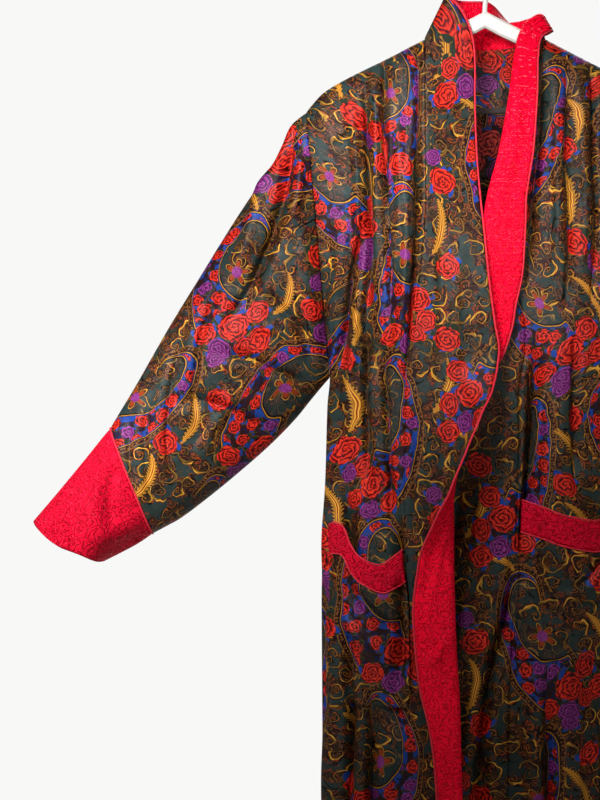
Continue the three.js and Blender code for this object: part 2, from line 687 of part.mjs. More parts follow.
// Row of a pocket; below gives its distance under the mouth, from the pocket's depth at that column.
function pocketRow(side, below, extra = 0) {
  const seamReach = Math.abs(bandSeam(side, pocket.level));
  return pocketShares().map((share) => {
    const mouth = mouthDrop(side, lerp(edgeReach(pocket.level), seamReach, share));
    return pocketPoint(side, share, mouth + below(pocketFoot(side) - mouth), extra);
  });
}

function pocketBand(side) {
  return wall([0, 0.5, 1].map((share) => pocketRow(side, () => share * pocket.bandHeight)));
}

function pocketPatch(side) {
  const start = pocket.bandHeight + seamGap;
  return wall([0, 0.3, 0.6, 0.85, 1].map((share) => pocketRow(side, (full) => lerp(start, full, share))));
}

// Piping along the mouth, and over the seam between the pocket and its band.
function pocketPiping(side, edge) {
  const clear = pipingRadius + seamGap;
  if (edge === 'top') return bead(pocketRow(side, () => -(clear + 2 * bendEase)), pipingRadius);
  return bead(pocketRow(side, () => pocket.bandHeight, cloth / 2 + clear), pipingRadius);
}

// ---- hanger ----
// Both arms, as one bevelled plate that follows the shoulders.
function hangerArms() {
  const steps = 9;
  const top = (reach) => -ridgeDrop(reach) - hanger.below - hanger.tipDip * (reach / hanger.reach) ** 4;
  const foot = (reach) => top(reach) - hanger.height * lerp(1, hanger.tipShare, reach / hanger.reach);
  const outline = new THREE.Shape();
  for (let n = -steps; n <= steps; n += 1) {
    const reach = (Math.abs(n) / steps) * hanger.reach;
    if (n === -steps) outline.moveTo(-reach, top(reach));
    else outline.lineTo(Math.sign(n) * reach, top(reach));
  }
  for (let n = steps; n >= -steps; n -= 1) {
    const reach = (Math.abs(n) / steps) * hanger.reach;
    outline.lineTo(Math.sign(n) * (reach - hanger.bevel * (reach > 0)), foot(reach));
  }
  const depth = hanger.thick - 2 * hanger.bevel;
  const plate = new THREE.ExtrudeGeometry(outline, {
    depth,
    bevelThickness: hanger.bevel,
    bevelSize: hanger.bevel,
    bevelOffset: -hanger.bevel,
    bevelSegments: 1,
  });
  return plate.translate(0, 0, -depth / 2).rotateX(Math.PI / 2);
}

// Shank and hook; the inner top of the hook is the origin.
function hangerHook() {
  const { foot, bend, top, side } = hanger.shank;
  const middle = hanger.wireRadius - hanger.hookRadius;
  const path = [vec(0, 0, -foot), vec(0, 0, -bend), vec(side, 0, -top)];
  for (let turn = -50; turn <= 200; turn += 25) {
    const angle = degToRad(turn);
    const out = vec(Math.cos(angle), 0, Math.sin(angle));
    path.push(vec(0, 0, middle).addScaledVector(out, hanger.hookRadius));
  }
  const wire = new THREE.Shape().absarc(0, 0, hanger.wireRadius, 0, 2 * Math.PI);
  return new THREE.ExtrudeGeometry(wire, {
    steps: 26,
    curveSegments: 4,
    extrudePath: new THREE.CatmullRomCurve3(path),
  });
}

async function hangerGeometry() {
  const wasm = await Module();
  wasm.setup();
  const toSolid = (geometry) => {
    geometry.deleteAttribute('normal');
    geometry.deleteAttribute('uv');
    const merged = mergeVertices(geometry, 1e-4);
    return new wasm.Manifold(
      new wasm.Mesh({
        numProp: 3,
        vertProperties: merged.attributes.position.array,
        triVerts: Uint32Array.from(merged.index.array),
      }),
    );
  };
  const joined = toSolid(hangerArms()).add(toSolid(hangerHook())).getMesh();
  return solid(Array.from(joined.vertProperties), Array.from(joined.triVerts));
}

// ---- assembly ----
const robe = new THREE.Group();

function add(name, geometry, finish) {
  const mesh = new THREE.Mesh(geometry, new THREE.MeshStandardMaterial(finish));
  mesh.name = name;
  robe.add(mesh);
}

add('back', backPanel(), fabric.print);
add('back_neck_facing', backNeckFacing(), fabric.print);
for (const side of sides) {
  add(`front_${side.name}`, frontPanel(side), fabric.print);
  add(`sleeve_${side.name}`, sleeve(side), fabric.print);
  add(`cuff_${side.name}`, cuff(side), fabric.red);
  add(`cuff_piping_${side.name}`, cuffPiping(side), fabric.piping);
  add(`band_${side.name}`, bandLayer(side, 0), fabric.print);
  add(`band_facing_${side.name}`, bandLayer(side, facingOff), fabric.red);
  add(`front_piping_${side.name}`, frontPiping(side), fabric.piping);
  add(`pocket_${side.name}`, pocketPatch(side), fabric.print);
  add(`pocket_band_${side.name}`, pocketBand(side), fabric.red);
  add(`pocket_piping_top_${side.name}`, pocketPiping(side, 'top'), fabric.piping);
  add(`pocket_piping_low_${side.name}`, pocketPiping(side, 'low'), fabric.piping);
}
add('hanger', await hangerGeometry(), fabric.hanger);

export default robe;
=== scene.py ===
from functools import partial
from math import atan2, cos, pi, radians, sin

import bpy
import numpy as np
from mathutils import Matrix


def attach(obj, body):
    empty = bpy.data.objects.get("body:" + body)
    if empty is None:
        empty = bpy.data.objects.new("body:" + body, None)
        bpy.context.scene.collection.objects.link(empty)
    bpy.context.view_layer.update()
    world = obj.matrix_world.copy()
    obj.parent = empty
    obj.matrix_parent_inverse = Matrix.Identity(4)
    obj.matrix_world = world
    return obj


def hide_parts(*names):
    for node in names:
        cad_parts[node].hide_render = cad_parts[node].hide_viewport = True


# A kimono robe on a plain moulded hanger. Sizes are in millimetres until a mesh is made.
# "drop" is the distance below the hook, "reach" the distance from the middle; the fronts face -Y.
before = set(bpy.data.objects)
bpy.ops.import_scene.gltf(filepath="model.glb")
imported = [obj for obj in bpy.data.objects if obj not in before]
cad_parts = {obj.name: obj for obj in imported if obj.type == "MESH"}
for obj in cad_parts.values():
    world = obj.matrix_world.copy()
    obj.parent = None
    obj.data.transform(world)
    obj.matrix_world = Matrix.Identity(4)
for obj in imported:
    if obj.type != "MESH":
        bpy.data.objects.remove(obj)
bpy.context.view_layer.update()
metre = 0.001

# ---- camera ----
cameraSetup = {"across": -224.4, "drop": 543.6, "away": 3000, "plane": 32, "tall": 960}


def placeCamera(setup):
    data = bpy.data.cameras.new("camera")
    camera = bpy.data.objects.new("camera", data)
    data.lens = data.sensor_width * setup["away"] / setup["tall"]
    back = setup["away"] + setup["plane"]
    camera.location = (setup["across"] * metre, -back * metre, -setup["drop"] * metre)
    camera.rotation_euler = (pi / 2, 0, 0)
    bpy.context.scene.collection.objects.link(camera)
    bpy.context.scene.camera = camera


placeCamera(cameraSetup)
print("camera placed")


# ---- materials ----
def linear(hexColour, alpha=1.0):
    parts = [int(hexColour[i : i + 2], 16) / 255 for i in (1, 3, 5)]
    return tuple(c / 12.92 if c <= 0.04045 else ((c + 0.055) / 1.055) ** 2.4 for c in parts) + (alpha,)


# Adds a node; "kind" may carry its operation. Values go to its shown inputs in order, linked where
# they are sockets. Stops fill a colour ramp, smooth or stepped.
def addNode(tree, kind, *values, out=0, stops=(), stepped=False, **settings):
    kind, *operation = kind.split()
    node = tree.nodes.new("ShaderNode" + kind)
    if operation:
        node.operation = operation[0]
    for name, value in settings.items():
        if name in node.inputs:
            node.inputs[name].default_value = value
        else:
            setattr(node, name, value)
    shown = [socket for socket in node.inputs if socket.enabled]
    for socket, value in zip(shown, values):
        if isinstance(value, bpy.types.NodeSocket):
            tree.links.new(value, socket)
        elif value is not None:
            socket.default_value = value
    if stops:
        ramp = node.color_ramp
        ramp.interpolation = "CONSTANT" if stepped else "LINEAR"
        while len(ramp.elements) < len(stops):
            ramp.elements.new(1.0)
        for stop, (place, colour) in zip(ramp.elements, stops):
            stop.position = place
            stop.color = colour
    return [socket for socket in node.outputs if socket.enabled][out]


dye = {
    "teal": "#1d2f2f",
    "umber": "#20110c",
    "ink": "#080504",
    "blue": "#183884",
    "blueDeep": "#111840",
    "bark": "#260f0e",
    "gold": "#a06c20",
    "goldPale": "#cc9a34",
    "rust": "#86300f",
    "tan": "#74481e",
    "olive": "#4e3a1a",
    "plum": "#3e1c24",
    "rose": "#a8140d",
    "roseLight": "#d8341c",
    "roseDark": "#200002",
    "roseDeep": "#72080a",
    "violet": "#6c1c60",
    "violetLight": "#903c86",
    "violetDark": "#20082a",
    "violetDeep": "#4a124a",
    "leaf": "#1a2618",
}
dye = {name: linear(value) for name, value in dye.items()}
noDye = dye["bark"][:3] + (0.0,)

# One repeat of the print. A boteh is the curled drop of a paisley: the place of its middle, its size,
# turn in degrees and hand. Roses are placed by radius, red 0 or violet 1; a posy hangs at each boteh's foot.
printDesign = {
    "repeat": (300.0, 400.0),
    "boteh": [
        (62, 332, 1.12, 8, 1),
        (64, 128, 1.04, -9, -1),
        (208, 232, 1.08, -8, 1),
        (214, 34, 1.12, 10, -1),
    ],
    "botehMiddle": (-5.0, -35.0),
    "botehStretch": (1.2, 0.66),
    "posy": [(-40, -66, 19, 0), (-62, -52, 15, 0), (-40, -86, 14, 1), (-12, -82, 15, 0), (-66, -76, 13, 0)],
    "roses": [
        (136, 196, 18, 0),
        (152, 170, 12, 1),
        (128, 306, 17, 0),
        (142, 66, 16, 0),
        (286, 118, 18, 0),
        (276, 146, 11, 1),
        (290, 330, 17, 0),
        (266, 352, 14, 0),
        (146, 384, 16, 0),
        (290, 18, 16, 0),
        (292, 222, 16, 0),
        (112, 22, 11, 1),
    ],
    "feathers": [
        (136, 252, 34, 80, 1),
        (290, 272, 34, 104, 1),
        (134, 128, 32, 70, 1),
        (282, 64, 32, 96, 1),
        (136, 346, 30, 62, 1),
        (8, 216, 30, 20, 1),
    ],
    "scrolls": [(11.0, 0.5, 0), (25.0, 1.5, 1)],  # pitch, half width, 1 where gilded
    "smallRosePitch": 20.0,
    "dotPitch": 3.6,
    "sway": 14.0,  # how far motifs drift from true, so that none repeats exactly
    "groundScale": 0.045,
    "filigree": (0.075, 52.0),  # scale, and lines to one swing of the tone
    "starPlace": (-6.0, -26.0, 0.0),
    "petals": [  # dyes from a fold to the next, and where each begins
        (
            ("roseDark", "roseDeep", "rose", "roseLight", "rose", "roseDark"),
            (0.1, 0.24, 0.44, 0.7, 0.9, 1),
        ),
        (
            ("violetDark", "violetDeep", "violet", "violetLight", "violetDark"),
            (0.06, 0.26, 0.5, 0.9, 1),
        ),
    ],
}
oneTurn = 1 / (2 * pi)
flat, cells, rgba = {"noise_dimensions": "2D"}, {"voronoi_dimensions": "2D"}, {"data_type": "RGBA"}


def printPattern(design):
    tree = bpy.data.node_groups.new("printedPaisley", "ShaderNodeTree")
    tree.interface.new_socket("Place", in_out="INPUT", socket_type="NodeSocketVector")
    tree.interface.new_socket("Colour", in_out="OUTPUT", socket_type="NodeSocketColor")
    place = tree.nodes.new("NodeGroupInput").outputs[0]
    put = partial(addNode, tree)
    half = [size / 2 for size in design["repeat"]]
    high, low = (*half, 9.0), (-half[0], -half[1], -9.0)

    # place in the frame of the nearest motif, in its own radii, and how far that is
    def nearest(point, rows, shape=None):
        found, best = (0.0, 0.0, 0.0), 1e3
        for row in rows:
            off = put("VectorMath SUBTRACT", point, (row[0], row[1], 0.0))
            off = put("VectorMath WRAP", off, high, low)
            if shape:
                off = put("VectorRotate", off, (0, 0, 0), radians(row[3]), rotation_type="Z_AXIS")
            scale = 1 / row[2]
            wide, tall = shape or (1, 1)
            inRadii = put("VectorMath MULTIPLY", off, (scale * wide, scale * tall, 0.0))
            away = put("VectorMath LENGTH", inRadii)
            closer = put("Math LESS_THAN", away, best)
            hand = row[4] if shape else 1
            kind = 0.0 if shape else row[3]
            own = put("VectorMath MULTIPLY_ADD", off, (scale * hand, scale, 0.0), (0.0, 0.0, kind))
            found = put("Mix", closer, found, own, data_type="VECTOR")
            best = put("Math MINIMUM", away, best)
        return found, best

    sway = put("TexNoise", place, 0.016, 2.0, out=1, **flat)
    sway = put("VectorMath SUBTRACT", sway, (0.5, 0.5, 0.5))
    point = put("VectorMath MULTIPLY_ADD", sway, (design["sway"], design["sway"], 0.0), place)

    # ground in two browns and a teal, with a fine filigree drawn over most of it
    patch = put("TexNoise", place, design["groundScale"], 2.0, **flat)
    colour = put("Mix", put("Math GREATER_THAN", patch, 0.5), dye["teal"], dye["umber"], **rgba)
    scale, lines = design["filigree"]
    fine = put("TexNoise", place, scale, 2.0, **flat)
    line = put("Math ABSOLUTE", put("Math SINE", put("Math MULTIPLY", fine, lines)))
    threads = [(0, dye["plum"]), (0.43, dye["tan"]), (0.53, dye["olive"])]
    thread = put("ValToRGB", put("TexNoise", place, 0.13, 0.0, **flat), stops=threads, stepped=True)
    colour = put("Mix", put("Math LESS_THAN", line, 0.14), colour, dye["olive"], **rgba)
    covered = put("Math GREATER_THAN", patch, 0.45)
    for limit, shade in ((0.62, dye["ink"]), (0.36, thread)):
        drawn = put("Math MULTIPLY", put("Math LESS_THAN", line, limit), covered)
        colour = put("Mix", drawn, colour, shade, **rgba)

    # scrolls, one curl to each cell, swelling into leafy lobes; thin tendrils first, then the gilt ones
    bent = put("TexNoise", place, 0.07, 1.0, out=1, **flat)
    bent = put("VectorMath MULTIPLY_ADD", bent, (9.0, 9.0, 0.0), point)
    for pitch, widest, gilded in design["scrolls"]:
        cell = (1 / pitch, 0.0, 0.5, 2.0, 0.9)
        middle, tone = (put("TexVoronoi", bent, *cell, out=k, **cells) for k in (2, 1))
        hand = put("Math SIGN", put("Math SUBTRACT", put("SeparateColor", tone), 0.5))
        off = put("VectorMath SUBTRACT", bent, middle)
        offY = put("Math MULTIPLY", put("SeparateXYZ", off, out=1), hand)
        around = put("Math ARCTAN2", offY, put("SeparateXYZ", off))
        far = put("VectorMath LENGTH", off)
        growth = put("Math LOGARITHM", far, 2.718)
        winding = put("Math MULTIPLY_ADD", around, oneTurn, put("SeparateColor", tone, out=1))
        tight = put("Math MULTIPLY_ADD", put("SeparateColor", tone, out=2), 0.5, 0.45)
        winding = put("Math MULTIPLY_ADD", growth, tight, winding)
        aside = put("Math SUBTRACT", put("Math FRACT", winding), 0.5)
        lobe = put("Math FRACT", put("Math MULTIPLY_ADD", growth, 2.6, put("Math MULTIPLY", aside, 1.5)))
        wide = put("MapRange", far, pitch * 0.08, pitch * 0.42, 0.3, widest)
        if gilded:
            wide = put("Math MULTIPLY", wide, put("Math MULTIPLY_ADD", lobe, 1.2, 0.3))
        else:
            wide = put("Math MULTIPLY", wide, put("MapRange", patch, 0.43, 0.47, 0.0, 1.0))
        wide = put("Math MULTIPLY", wide, put("MapRange", far, pitch * 0.5, pitch * 0.64, 1.0, 0.0))
        clear = put("Math MULTIPLY", put("Math ABSOLUTE", aside), put("Math MULTIPLY", far, 1.3))
        clear = put("Math SUBTRACT", clear, wide)
        if gilded:
            gilt = put("Mix", put("Math GREATER_THAN", aside, 0.02), dye["gold"], dye["rust"], **rgba)
            gilt = put("Mix", put("Math LESS_THAN", clear, -0.75), gilt, dye["goldPale"], **rgba)
            dull = put("MapRange", put("TexNoise", place, 0.03, 2.0, **flat), 0.4, 0.6, 0.0, 0.85)
            gilt = put("Mix", dull, gilt, dye["olive"], **rgba)
            colour = put("Mix", put("Math LESS_THAN", clear, 0.9), colour, dye["ink"], **rgba)
        else:
            gilt = put("Mix", put("SeparateColor", tone), dye["rust"], dye["tan"], **rgba)
        colour = put("Mix", put("Math LESS_THAN", clear, 0.0), colour, gilt, **rgba)

    # botehs: a band on a growing spiral, cut off square at its foot
    own, _ = nearest(point, design["boteh"], shape=(1.25, 0.8))
    own = put("VectorMath ADD", own, (*design["botehMiddle"], 0.0))
    own = put("VectorMath MULTIPLY", own, (*design["botehStretch"], 0.0))
    ownX, ownY = (put("SeparateXYZ", own, out=k) for k in range(2))
    far = put("VectorMath LENGTH", own)
    share = put("Math ARCTAN2", put("Math MULTIPLY", ownY, -1.0), ownX)
    share = put("Math MULTIPLY_ADD", share, -oneTurn, 0.5)
    share = put("Math SUBTRACT", 1.0, share)
    growth = put("Math LOGARITHM", put("Math MULTIPLY", far, 1 / 11), 2.718)
    spiral = put("Math MULTIPLY_ADD", share, -2.25, growth)
    wide = put("MapRange", share, 0.0, 0.72, 0.05, 0.34)
    band = put("Math MULTIPLY", put("Math SUBTRACT", put("Math ABSOLUTE", spiral), wide), far)
    foot = put("Math MULTIPLY", put("Math SUBTRACT", share, 0.86), put("Math MULTIPLY", far, 2 * pi))
    edge = put("Math SMOOTH_MAX", band, foot, 5.0)
    within = put("Math MULTIPLY", put("Math LESS_THAN", spiral, 0.0), put("Math LESS_THAN", foot, 0.0))
    shade = put("Math MULTIPLY", within, put("MapRange", spiral, -0.9, -0.5, 0.1, 0.6))
    colour = put("Mix", shade, colour, dye["teal"], **rgba)

    # star flower inside the curl
    star = put("VectorMath SUBTRACT", own, design["starPlace"])
    star = put("VectorMath MULTIPLY", star, (0.85, 1.4, 0.0))
    far = put("VectorMath LENGTH", star)
    turn = put("Math ARCTAN2", put("SeparateXYZ", star, out=1), put("SeparateXYZ", star))
    petal = put("Math ABSOLUTE", put("Math COSINE", put("Math MULTIPLY", turn, 2.5)))
    petal = put("Math MULTIPLY_ADD", put("Math MULTIPLY", petal, petal), 11.0, 4.0)
    petal = put("Math SUBTRACT", far, petal)
    for limit, name in ((0.0, "gold"), (-1.5, "umber"), (-3.2, "rust")):
        colour = put("Mix", put("Math LESS_THAN", petal, limit), colour, dye[name], **rgba)
    speck = put("TexNoise", place, 0.5, 0.0, **flat)
    eye = put("Math LESS_THAN", far, 5.5)
    speck = put("Mix", speck, dye["violetDeep"], dye["violetLight"], **rgba)
    colour = put("Mix", eye, colour, speck, **rgba)

    # nested edges of the band, from its middle out
    steps = [
        (0, dye["bark"]),
        (0.54, dye["blue"]),
        (0.705, dye["ink"]),
        (0.72, dye["gold"]),
        (0.745, dye["ink"]),
        (0.77, dye["bark"]),
        (0.89, dye["tan"]),
        (0.92, noDye),
    ]
    ring = put("ValToRGB", put("MapRange", edge, -30.0, 10.0, 0.0, 1.0), stops=steps, stepped=True)
    drawn = ring.node.outputs["Alpha"]
    outside = put("Math GREATER_THAN", edge, 1.2)
    dots = put("TexVoronoi", place, 1 / design["dotPitch"], 0.0, 0.5, 2.0, 0.8, **cells)
    dots = put("Math LESS_THAN", dots, 0.34)
    ring = put("Mix", put("Math MULTIPLY", dots, outside), ring, dye["tan"], **rgba)
    dusk = put("Math MULTIPLY", put("Math GREATER_THAN", fine, 0.5), put("Math LESS_THAN", edge, -2.2))
    dark = put("Mix", put("Math GREATER_THAN", fine, 0.56), dye["blueDeep"], dye["bark"], **rgba)
    ring = put("Mix", dusk, ring, dark, **rgba)
    cut = put("Math LESS_THAN", put("Math MULTIPLY", outside, within), 0.5)
    shown = put("Math MULTIPLY", drawn, cut)
    colour = put("Mix", shown, colour, ring, **rgba)

    # feather leaves with a serrated fringe
    own, _ = nearest(point, design["feathers"], shape=(0.6, 1.5))
    ownX, ownY = (put("SeparateXYZ", own, out=k) for k in range(2))
    square = put("Math MULTIPLY", ownX, ownX)
    aside = put("Math SUBTRACT", put("Math MULTIPLY_ADD", square, 0.35, ownY), 0.12)
    aside = put("Math ABSOLUTE", aside)
    blade = put("Math SQRT", put("Math MAXIMUM", put("Math SUBTRACT", 1.0, square), 0.0001))
    across = put("Math DIVIDE", aside, put("Math MULTIPLY", blade, 0.2))
    barb = put("Math FRACT", put("Math MULTIPLY", put("Math MULTIPLY_ADD", aside, 1.2, ownX), 8.0))
    barb = put("Math GREATER_THAN", barb, put("MapRange", across, 0.5, 1.0, 0.0, 0.8))
    inside = put("Math MULTIPLY", put("Math LESS_THAN", across, 1.0), put("Math LESS_THAN", square, 1.0))
    quill = [(0, dye["rust"]), (0.12, dye["goldPale"]), (0.32, dye["rust"]), (0.42, dye["gold"])]
    quill = put("ValToRGB", across, stops=quill, stepped=True)
    colour = put("Mix", inside, colour, put("Mix", barb, dye["umber"], quill, **rgba), **rgba)

    # roses: small ones in the bands and the large ones, drawn by the same winding line
    posies = []
    for x, y, size, degrees, hand in design["boteh"]:
        c, s = cos(radians(degrees)), sin(radians(degrees))
        for px, py, radius, kind in design["posy"]:
            px = (px / design["botehStretch"][0] - design["botehMiddle"][0]) * hand * size
            py = (py / design["botehStretch"][1] - design["botehMiddle"][1]) * size
            posies.append((x + c * px + s * py, y - s * px + c * py, radius, kind))
    own, far = nearest(point, posies + design["roses"])
    pitch = design["smallRosePitch"]
    cell = (1 / pitch, 0.0, 0.5, 2.0, 0.5)
    middle, tone = (put("TexVoronoi", point, *cell, out=k, **cells) for k in (2, 1))
    tone = put("SeparateColor", tone, out=2)
    small = put("VectorMath MULTIPLY", put("VectorMath SUBTRACT", point, middle), (0.115, 0.115, 0.0))
    small = put("VectorMath ADD", small, put("CombineXYZ", 0.0, 0.0, put("Math GREATER_THAN", tone, 0.76)))
    large = put("Math LESS_THAN", far, 1.25)
    own = put("Mix", large, small, own, data_type="VECTOR")
    ownX, ownY, kind = [put("SeparateXYZ", own, out=k) for k in range(3)]
    far = put("Math SQRT", put("Math MULTIPLY_ADD", ownX, ownX, put("Math MULTIPLY", ownY, ownY)))
    turn = put("Math MULTIPLY_ADD", tone, 6.0, put("Math ARCTAN2", ownY, ownX))
    scallop = put("Math MULTIPLY_ADD", far, 4.5, put("Math MULTIPLY", turn, 2.5))
    scallop = put("Math ABSOLUTE", put("Math SINE", scallop))
    winding = put("Math MULTIPLY_ADD", scallop, 0.34, put("Math MULTIPLY", turn, oneTurn))
    winding = put("Math MULTIPLY_ADD", put("TexNoise", place, 0.16, 1.0, **flat), 1.1, winding)
    layers = put("Math MULTIPLY_ADD", large, 1.3, 2.2)
    fold = put("Math FRACT", put("Math MULTIPLY_ADD", far, layers, winding))
    dyed = [[(at, dye[name]) for name, at in zip(*stops)] for stops in design["petals"]]
    petal = [put("ValToRGB", fold, stops=stops) for stops in dyed]
    petals = put("Math LESS_THAN", far, put("Math MULTIPLY_ADD", scallop, 0.14, 0.82))
    where = put("Math MAXIMUM", large, put("Math LESS_THAN", edge, -2.5))
    leafy = put("Math MAXIMUM", put("Math SINE", put("Math MULTIPLY", turn, 3.0)), 0.0)
    leafy = put("Math SUBTRACT", put("Math MULTIPLY_ADD", leafy, 0.42, 0.92), far)
    green = put("Math MULTIPLY", put("Math GREATER_THAN", leafy, 0.0), where)
    colour = put("Mix", green, colour, dye["olive"], **rgba)
    sprig = put("Math GREATER_THAN", put("Math SINE", turn), 0.4)
    sprig = put("Mix", sprig, dye["leaf"], dye["blue"], **rgba)
    green = put("Math MULTIPLY", put("Math GREATER_THAN", leafy, 0.1), where)
    colour = put("Mix", green, colour, sprig, **rgba)
    colour = put("Mix", put("Math MULTIPLY", petals, where), colour, put("Mix", kind, *petal, **rgba), **rgba)
    tree.links.new(colour, tree.nodes.new("NodeGroupOutput").inputs[0])
    print("print pattern drawn with", len(tree.nodes), "nodes")
    return tree


def emptyTree(owner):
    owner.use_nodes = True
    owner.node_tree.nodes.clear()
    return owner.node_tree


def newMaterial(name):
    material = bpy.data.materials.new(name)
    tree = emptyTree(material)
    put = partial(addNode, tree)
    place = put("UVMap", uv_map="clothMap")
    return material, tree, put, put("VectorMath SCALE", place, 1000.0)


def finishMaterial(tree, shader):
    tree.links.new(shader, tree.nodes.new("ShaderNodeOutputMaterial").inputs[0])


# polyester satin, woven with long floats and printed: dyes read deep, with a broad silky gleam.
# Its threads, 8 to the millimetre, are drawn as 2.4 mm slubs because finer ones would not show.
def printedSatin(name, pattern, wrongSideInShade=False):
    material, tree, put, place = newMaterial(name)
    group = tree.nodes.new("ShaderNodeGroup")
    group.node_tree = pattern
    tree.links.new(place, group.inputs[0])
    colour = group.outputs[0]
    if wrongSideInShade:  # the dye does not go right through, so the real back of the cloth is paler and greyer; here it is drawn greyer and darker, the darkening being painted shade for the inside of the robe
        colour = put("HueSaturation", None, 0.95, 0.72, None, colour)
        colour = put("Mix", 0.4, colour, linear("#22100e"), **rgba)
    else:
        washed = put("TexNoise", place, 0.02, 3.0, **flat)
        colour = put("HueSaturation", None, None, put("MapRange", washed, 0.3, 0.7, 0.86, 1.12), None, colour)
    stretched = put("VectorMath MULTIPLY", place, (0.42, 0.1, 0.0))
    slub = put("TexNoise", stretched, 1.0, 3.0, **flat)
    ripple = put("TexNoise", place, 0.035, 2.0, **flat)
    height = put("Math MULTIPLY_ADD", ripple, 6.0, put("Math MULTIPLY", slub, 0.18))
    normal = put("Bump", 0.5 if not wrongSideInShade else 0.35, 0.001, None, height)
    roughness = put("MapRange", slub, 0.3, 0.7, 0.48, 0.62) if not wrongSideInShade else 0.75
    gleam = {"Specular IOR Level": 0.08 if wrongSideInShade else 0.17}
    finishMaterial(tree, put("BsdfPrincipled", colour, 0.0, roughness, 1.5, None, normal, **gleam))
    return material


jacquardPitch = 14


# rayon jacquard: loops one inside another, woven in relief, which gives the red ground a soft broken
# sheen. The loops are 14 mm apart. Floats of bare weft are drawn up to 5 mm long and 1 mm wide, coarser
# than real ones, so that they show. Shades are the ground, the loops, the floats and how pale those are.
def redJacquard(name, shades):
    material, tree, put, place = newMaterial(name)
    ground, raisedShade, bare, paleness = shades
    swirl = put("TexNoise", place, 0.11, 1.0, out=1, **flat)
    loops = put("VectorMath MULTIPLY_ADD", swirl, (16.0, 16.0, 0.0), place)
    cell = (1 / jacquardPitch, 0.0, 0.5, 2.0, 1.0)
    loops = put("TexVoronoi", loops, *cell, feature="DISTANCE_TO_EDGE", **cells)
    raised = put("Math ABSOLUTE", put("Math SINE", put("Math MULTIPLY", loops, 9.5)))
    raised = put("MapRange", raised, 0.15, 0.75, 0.0, 1.0)
    weft = put("VectorMath MULTIPLY", place, (0.06, 0.26, 0.0))
    tilt = put("Math MULTIPLY", put("SeparateXYZ", swirl), 0.6)
    weft = put("VectorRotate", weft, (0, 0, 0), tilt, rotation_type="Z_AXIS")
    fleck = put("TexVoronoi", weft, 1.0, 0.0, 0.5, 2.0, 1.0, **cells)
    fleck = put("MapRange", fleck, 0.075, 0.15, 1.0, 0.0)
    broad = put("TexNoise", place, 0.02, 3.0, **flat)
    colour = put("Mix", raised, linear(ground), linear(raisedShade), **rgba)
    colour = put("HueSaturation", None, None, put("MapRange", broad, 0.3, 0.7, 0.94, 1.05), None, colour)
    colour = put("Mix", put("Math MULTIPLY", fleck, paleness), colour, linear(bare), **rgba)
    grain = put("TexNoise", place, 1.1, 2.0, **flat)
    height = put("Math MULTIPLY_ADD", raised, 0.8, put("Math MULTIPLY", grain, 0.3))
    normal = put("Bump", 0.8, 0.001, None, height)
    roughness = put("MapRange", raised, 0.0, 1.0, 0.66, 0.5)
    gleam = {"Specular IOR Level": 0.08, "Specular Tint": linear("#ff5a6c")}  # its dyed floats gleam red
    finishMaterial(tree, put("BsdfPrincipled", colour, 0.0, roughness, 1.5, None, normal, **gleam))
    return material


# satin bias strip sewn over cord: a smooth bright line, ribbed by the pull of its stitches
def satinPiping(name, shades):
    material, tree, put, place = newMaterial(name)
    rib = put("Math SINE", put("Math MULTIPLY", put("SeparateXYZ", place, out=1), 2.1))
    uneven = put("TexNoise", place, 0.3, 2.0, **flat)
    colour = put("Mix", uneven, linear(shades[0]), linear(shades[1]), **rgba)
    normal = put("Bump", 0.35, 0.0006, None, put("Math MULTIPLY_ADD", rib, 0.2, uneven))
    roughness = put("MapRange", uneven, 0.3, 0.7, 0.42, 0.55)
    gleam = {"Specular IOR Level": 0.3, "Specular Tint": linear("#ff8e98")}
    finishMaterial(tree, put("BsdfPrincipled", colour, 0.0, roughness, 1.5, None, normal, **gleam))
    return material


# flat woven tape that binds a raw edge: dull grey-brown, with a fine rib
def bindingTape(name, shades):
    material, tree, put, place = newMaterial(name)
    rib = put("Math SINE", put("Math MULTIPLY", put("SeparateXYZ", place), 3.2))
    worn = put("TexNoise", place, 0.12, 3.0, **flat)
    colour = put("Mix", worn, linear(shades[0]), linear(shades[1]), **rgba)
    normal = put("Bump", 0.4, 0.0008, None, put("Math MULTIPLY_ADD", rib, 0.2, worn))
    finishMaterial(tree, put("BsdfPrincipled", colour, 0.0, 0.8, 1.5, None, normal))
    return material


# injection-moulded polystyrene: smooth, slightly milky, with faint flow marks and small scuffs
def mouldedPlastic(name):
    material = bpy.data.materials.new(name)
    tree = emptyTree(material)
    put = partial(addNode, tree)
    place = put("TexCoord", out=3)
    flow = put("TexNoise", place, 14.0, 3.0)
    scuff = put("TexNoise", place, 160.0, 4.0)
    colour = put("Mix", flow, linear("#d2cfc8"), linear("#dedbd5"), **rgba)
    roughness = put("MapRange", scuff, 0.35, 0.7, 0.28, 0.45)
    normal = put("Bump", 0.2, 0.0004, None, scuff)
    finishMaterial(tree, put("BsdfPrincipled", colour, 0.0, roughness, 1.59, None, normal))
    return material


pattern = printPattern(printDesign)
finishes = {
    "print": printedSatin("printedSatin", pattern),
    "boundBack": bindingTape("dullBindingTape", ("#2c2422", "#3d322e")),
    # the back of the print is drawn darker than the cloth is: painted shade for the inside of the robe
    "printBack": printedSatin("printedSatinWrongSideShaded", pattern, wrongSideInShade=True),
    "red": redJacquard("redJacquard", ("#8a0415", "#ca0a2a", "#ff5068", 0.8)),
    # the facings wear a brighter copy of the red jacquard: painted light, standing in for light on the
    # facings
    "facing": redJacquard("redFacingJacquardPaintedLit", ("#c2051d", "#ff0830", "#ff6478", 0.8)),
    "redBack": redJacquard("redJacquardWrongSide", ("#680014", "#8c0620", "#a82840", 0.3)),
    "piping": satinPiping("redSatinPiping", ("#c4182c", "#de3a4a")),
    "hanger": mouldedPlastic("mouldedPolystyrene"),
}
finishes.update({"bound": finishes["print"], "facingBack": finishes["redBack"]})
print("materials made")

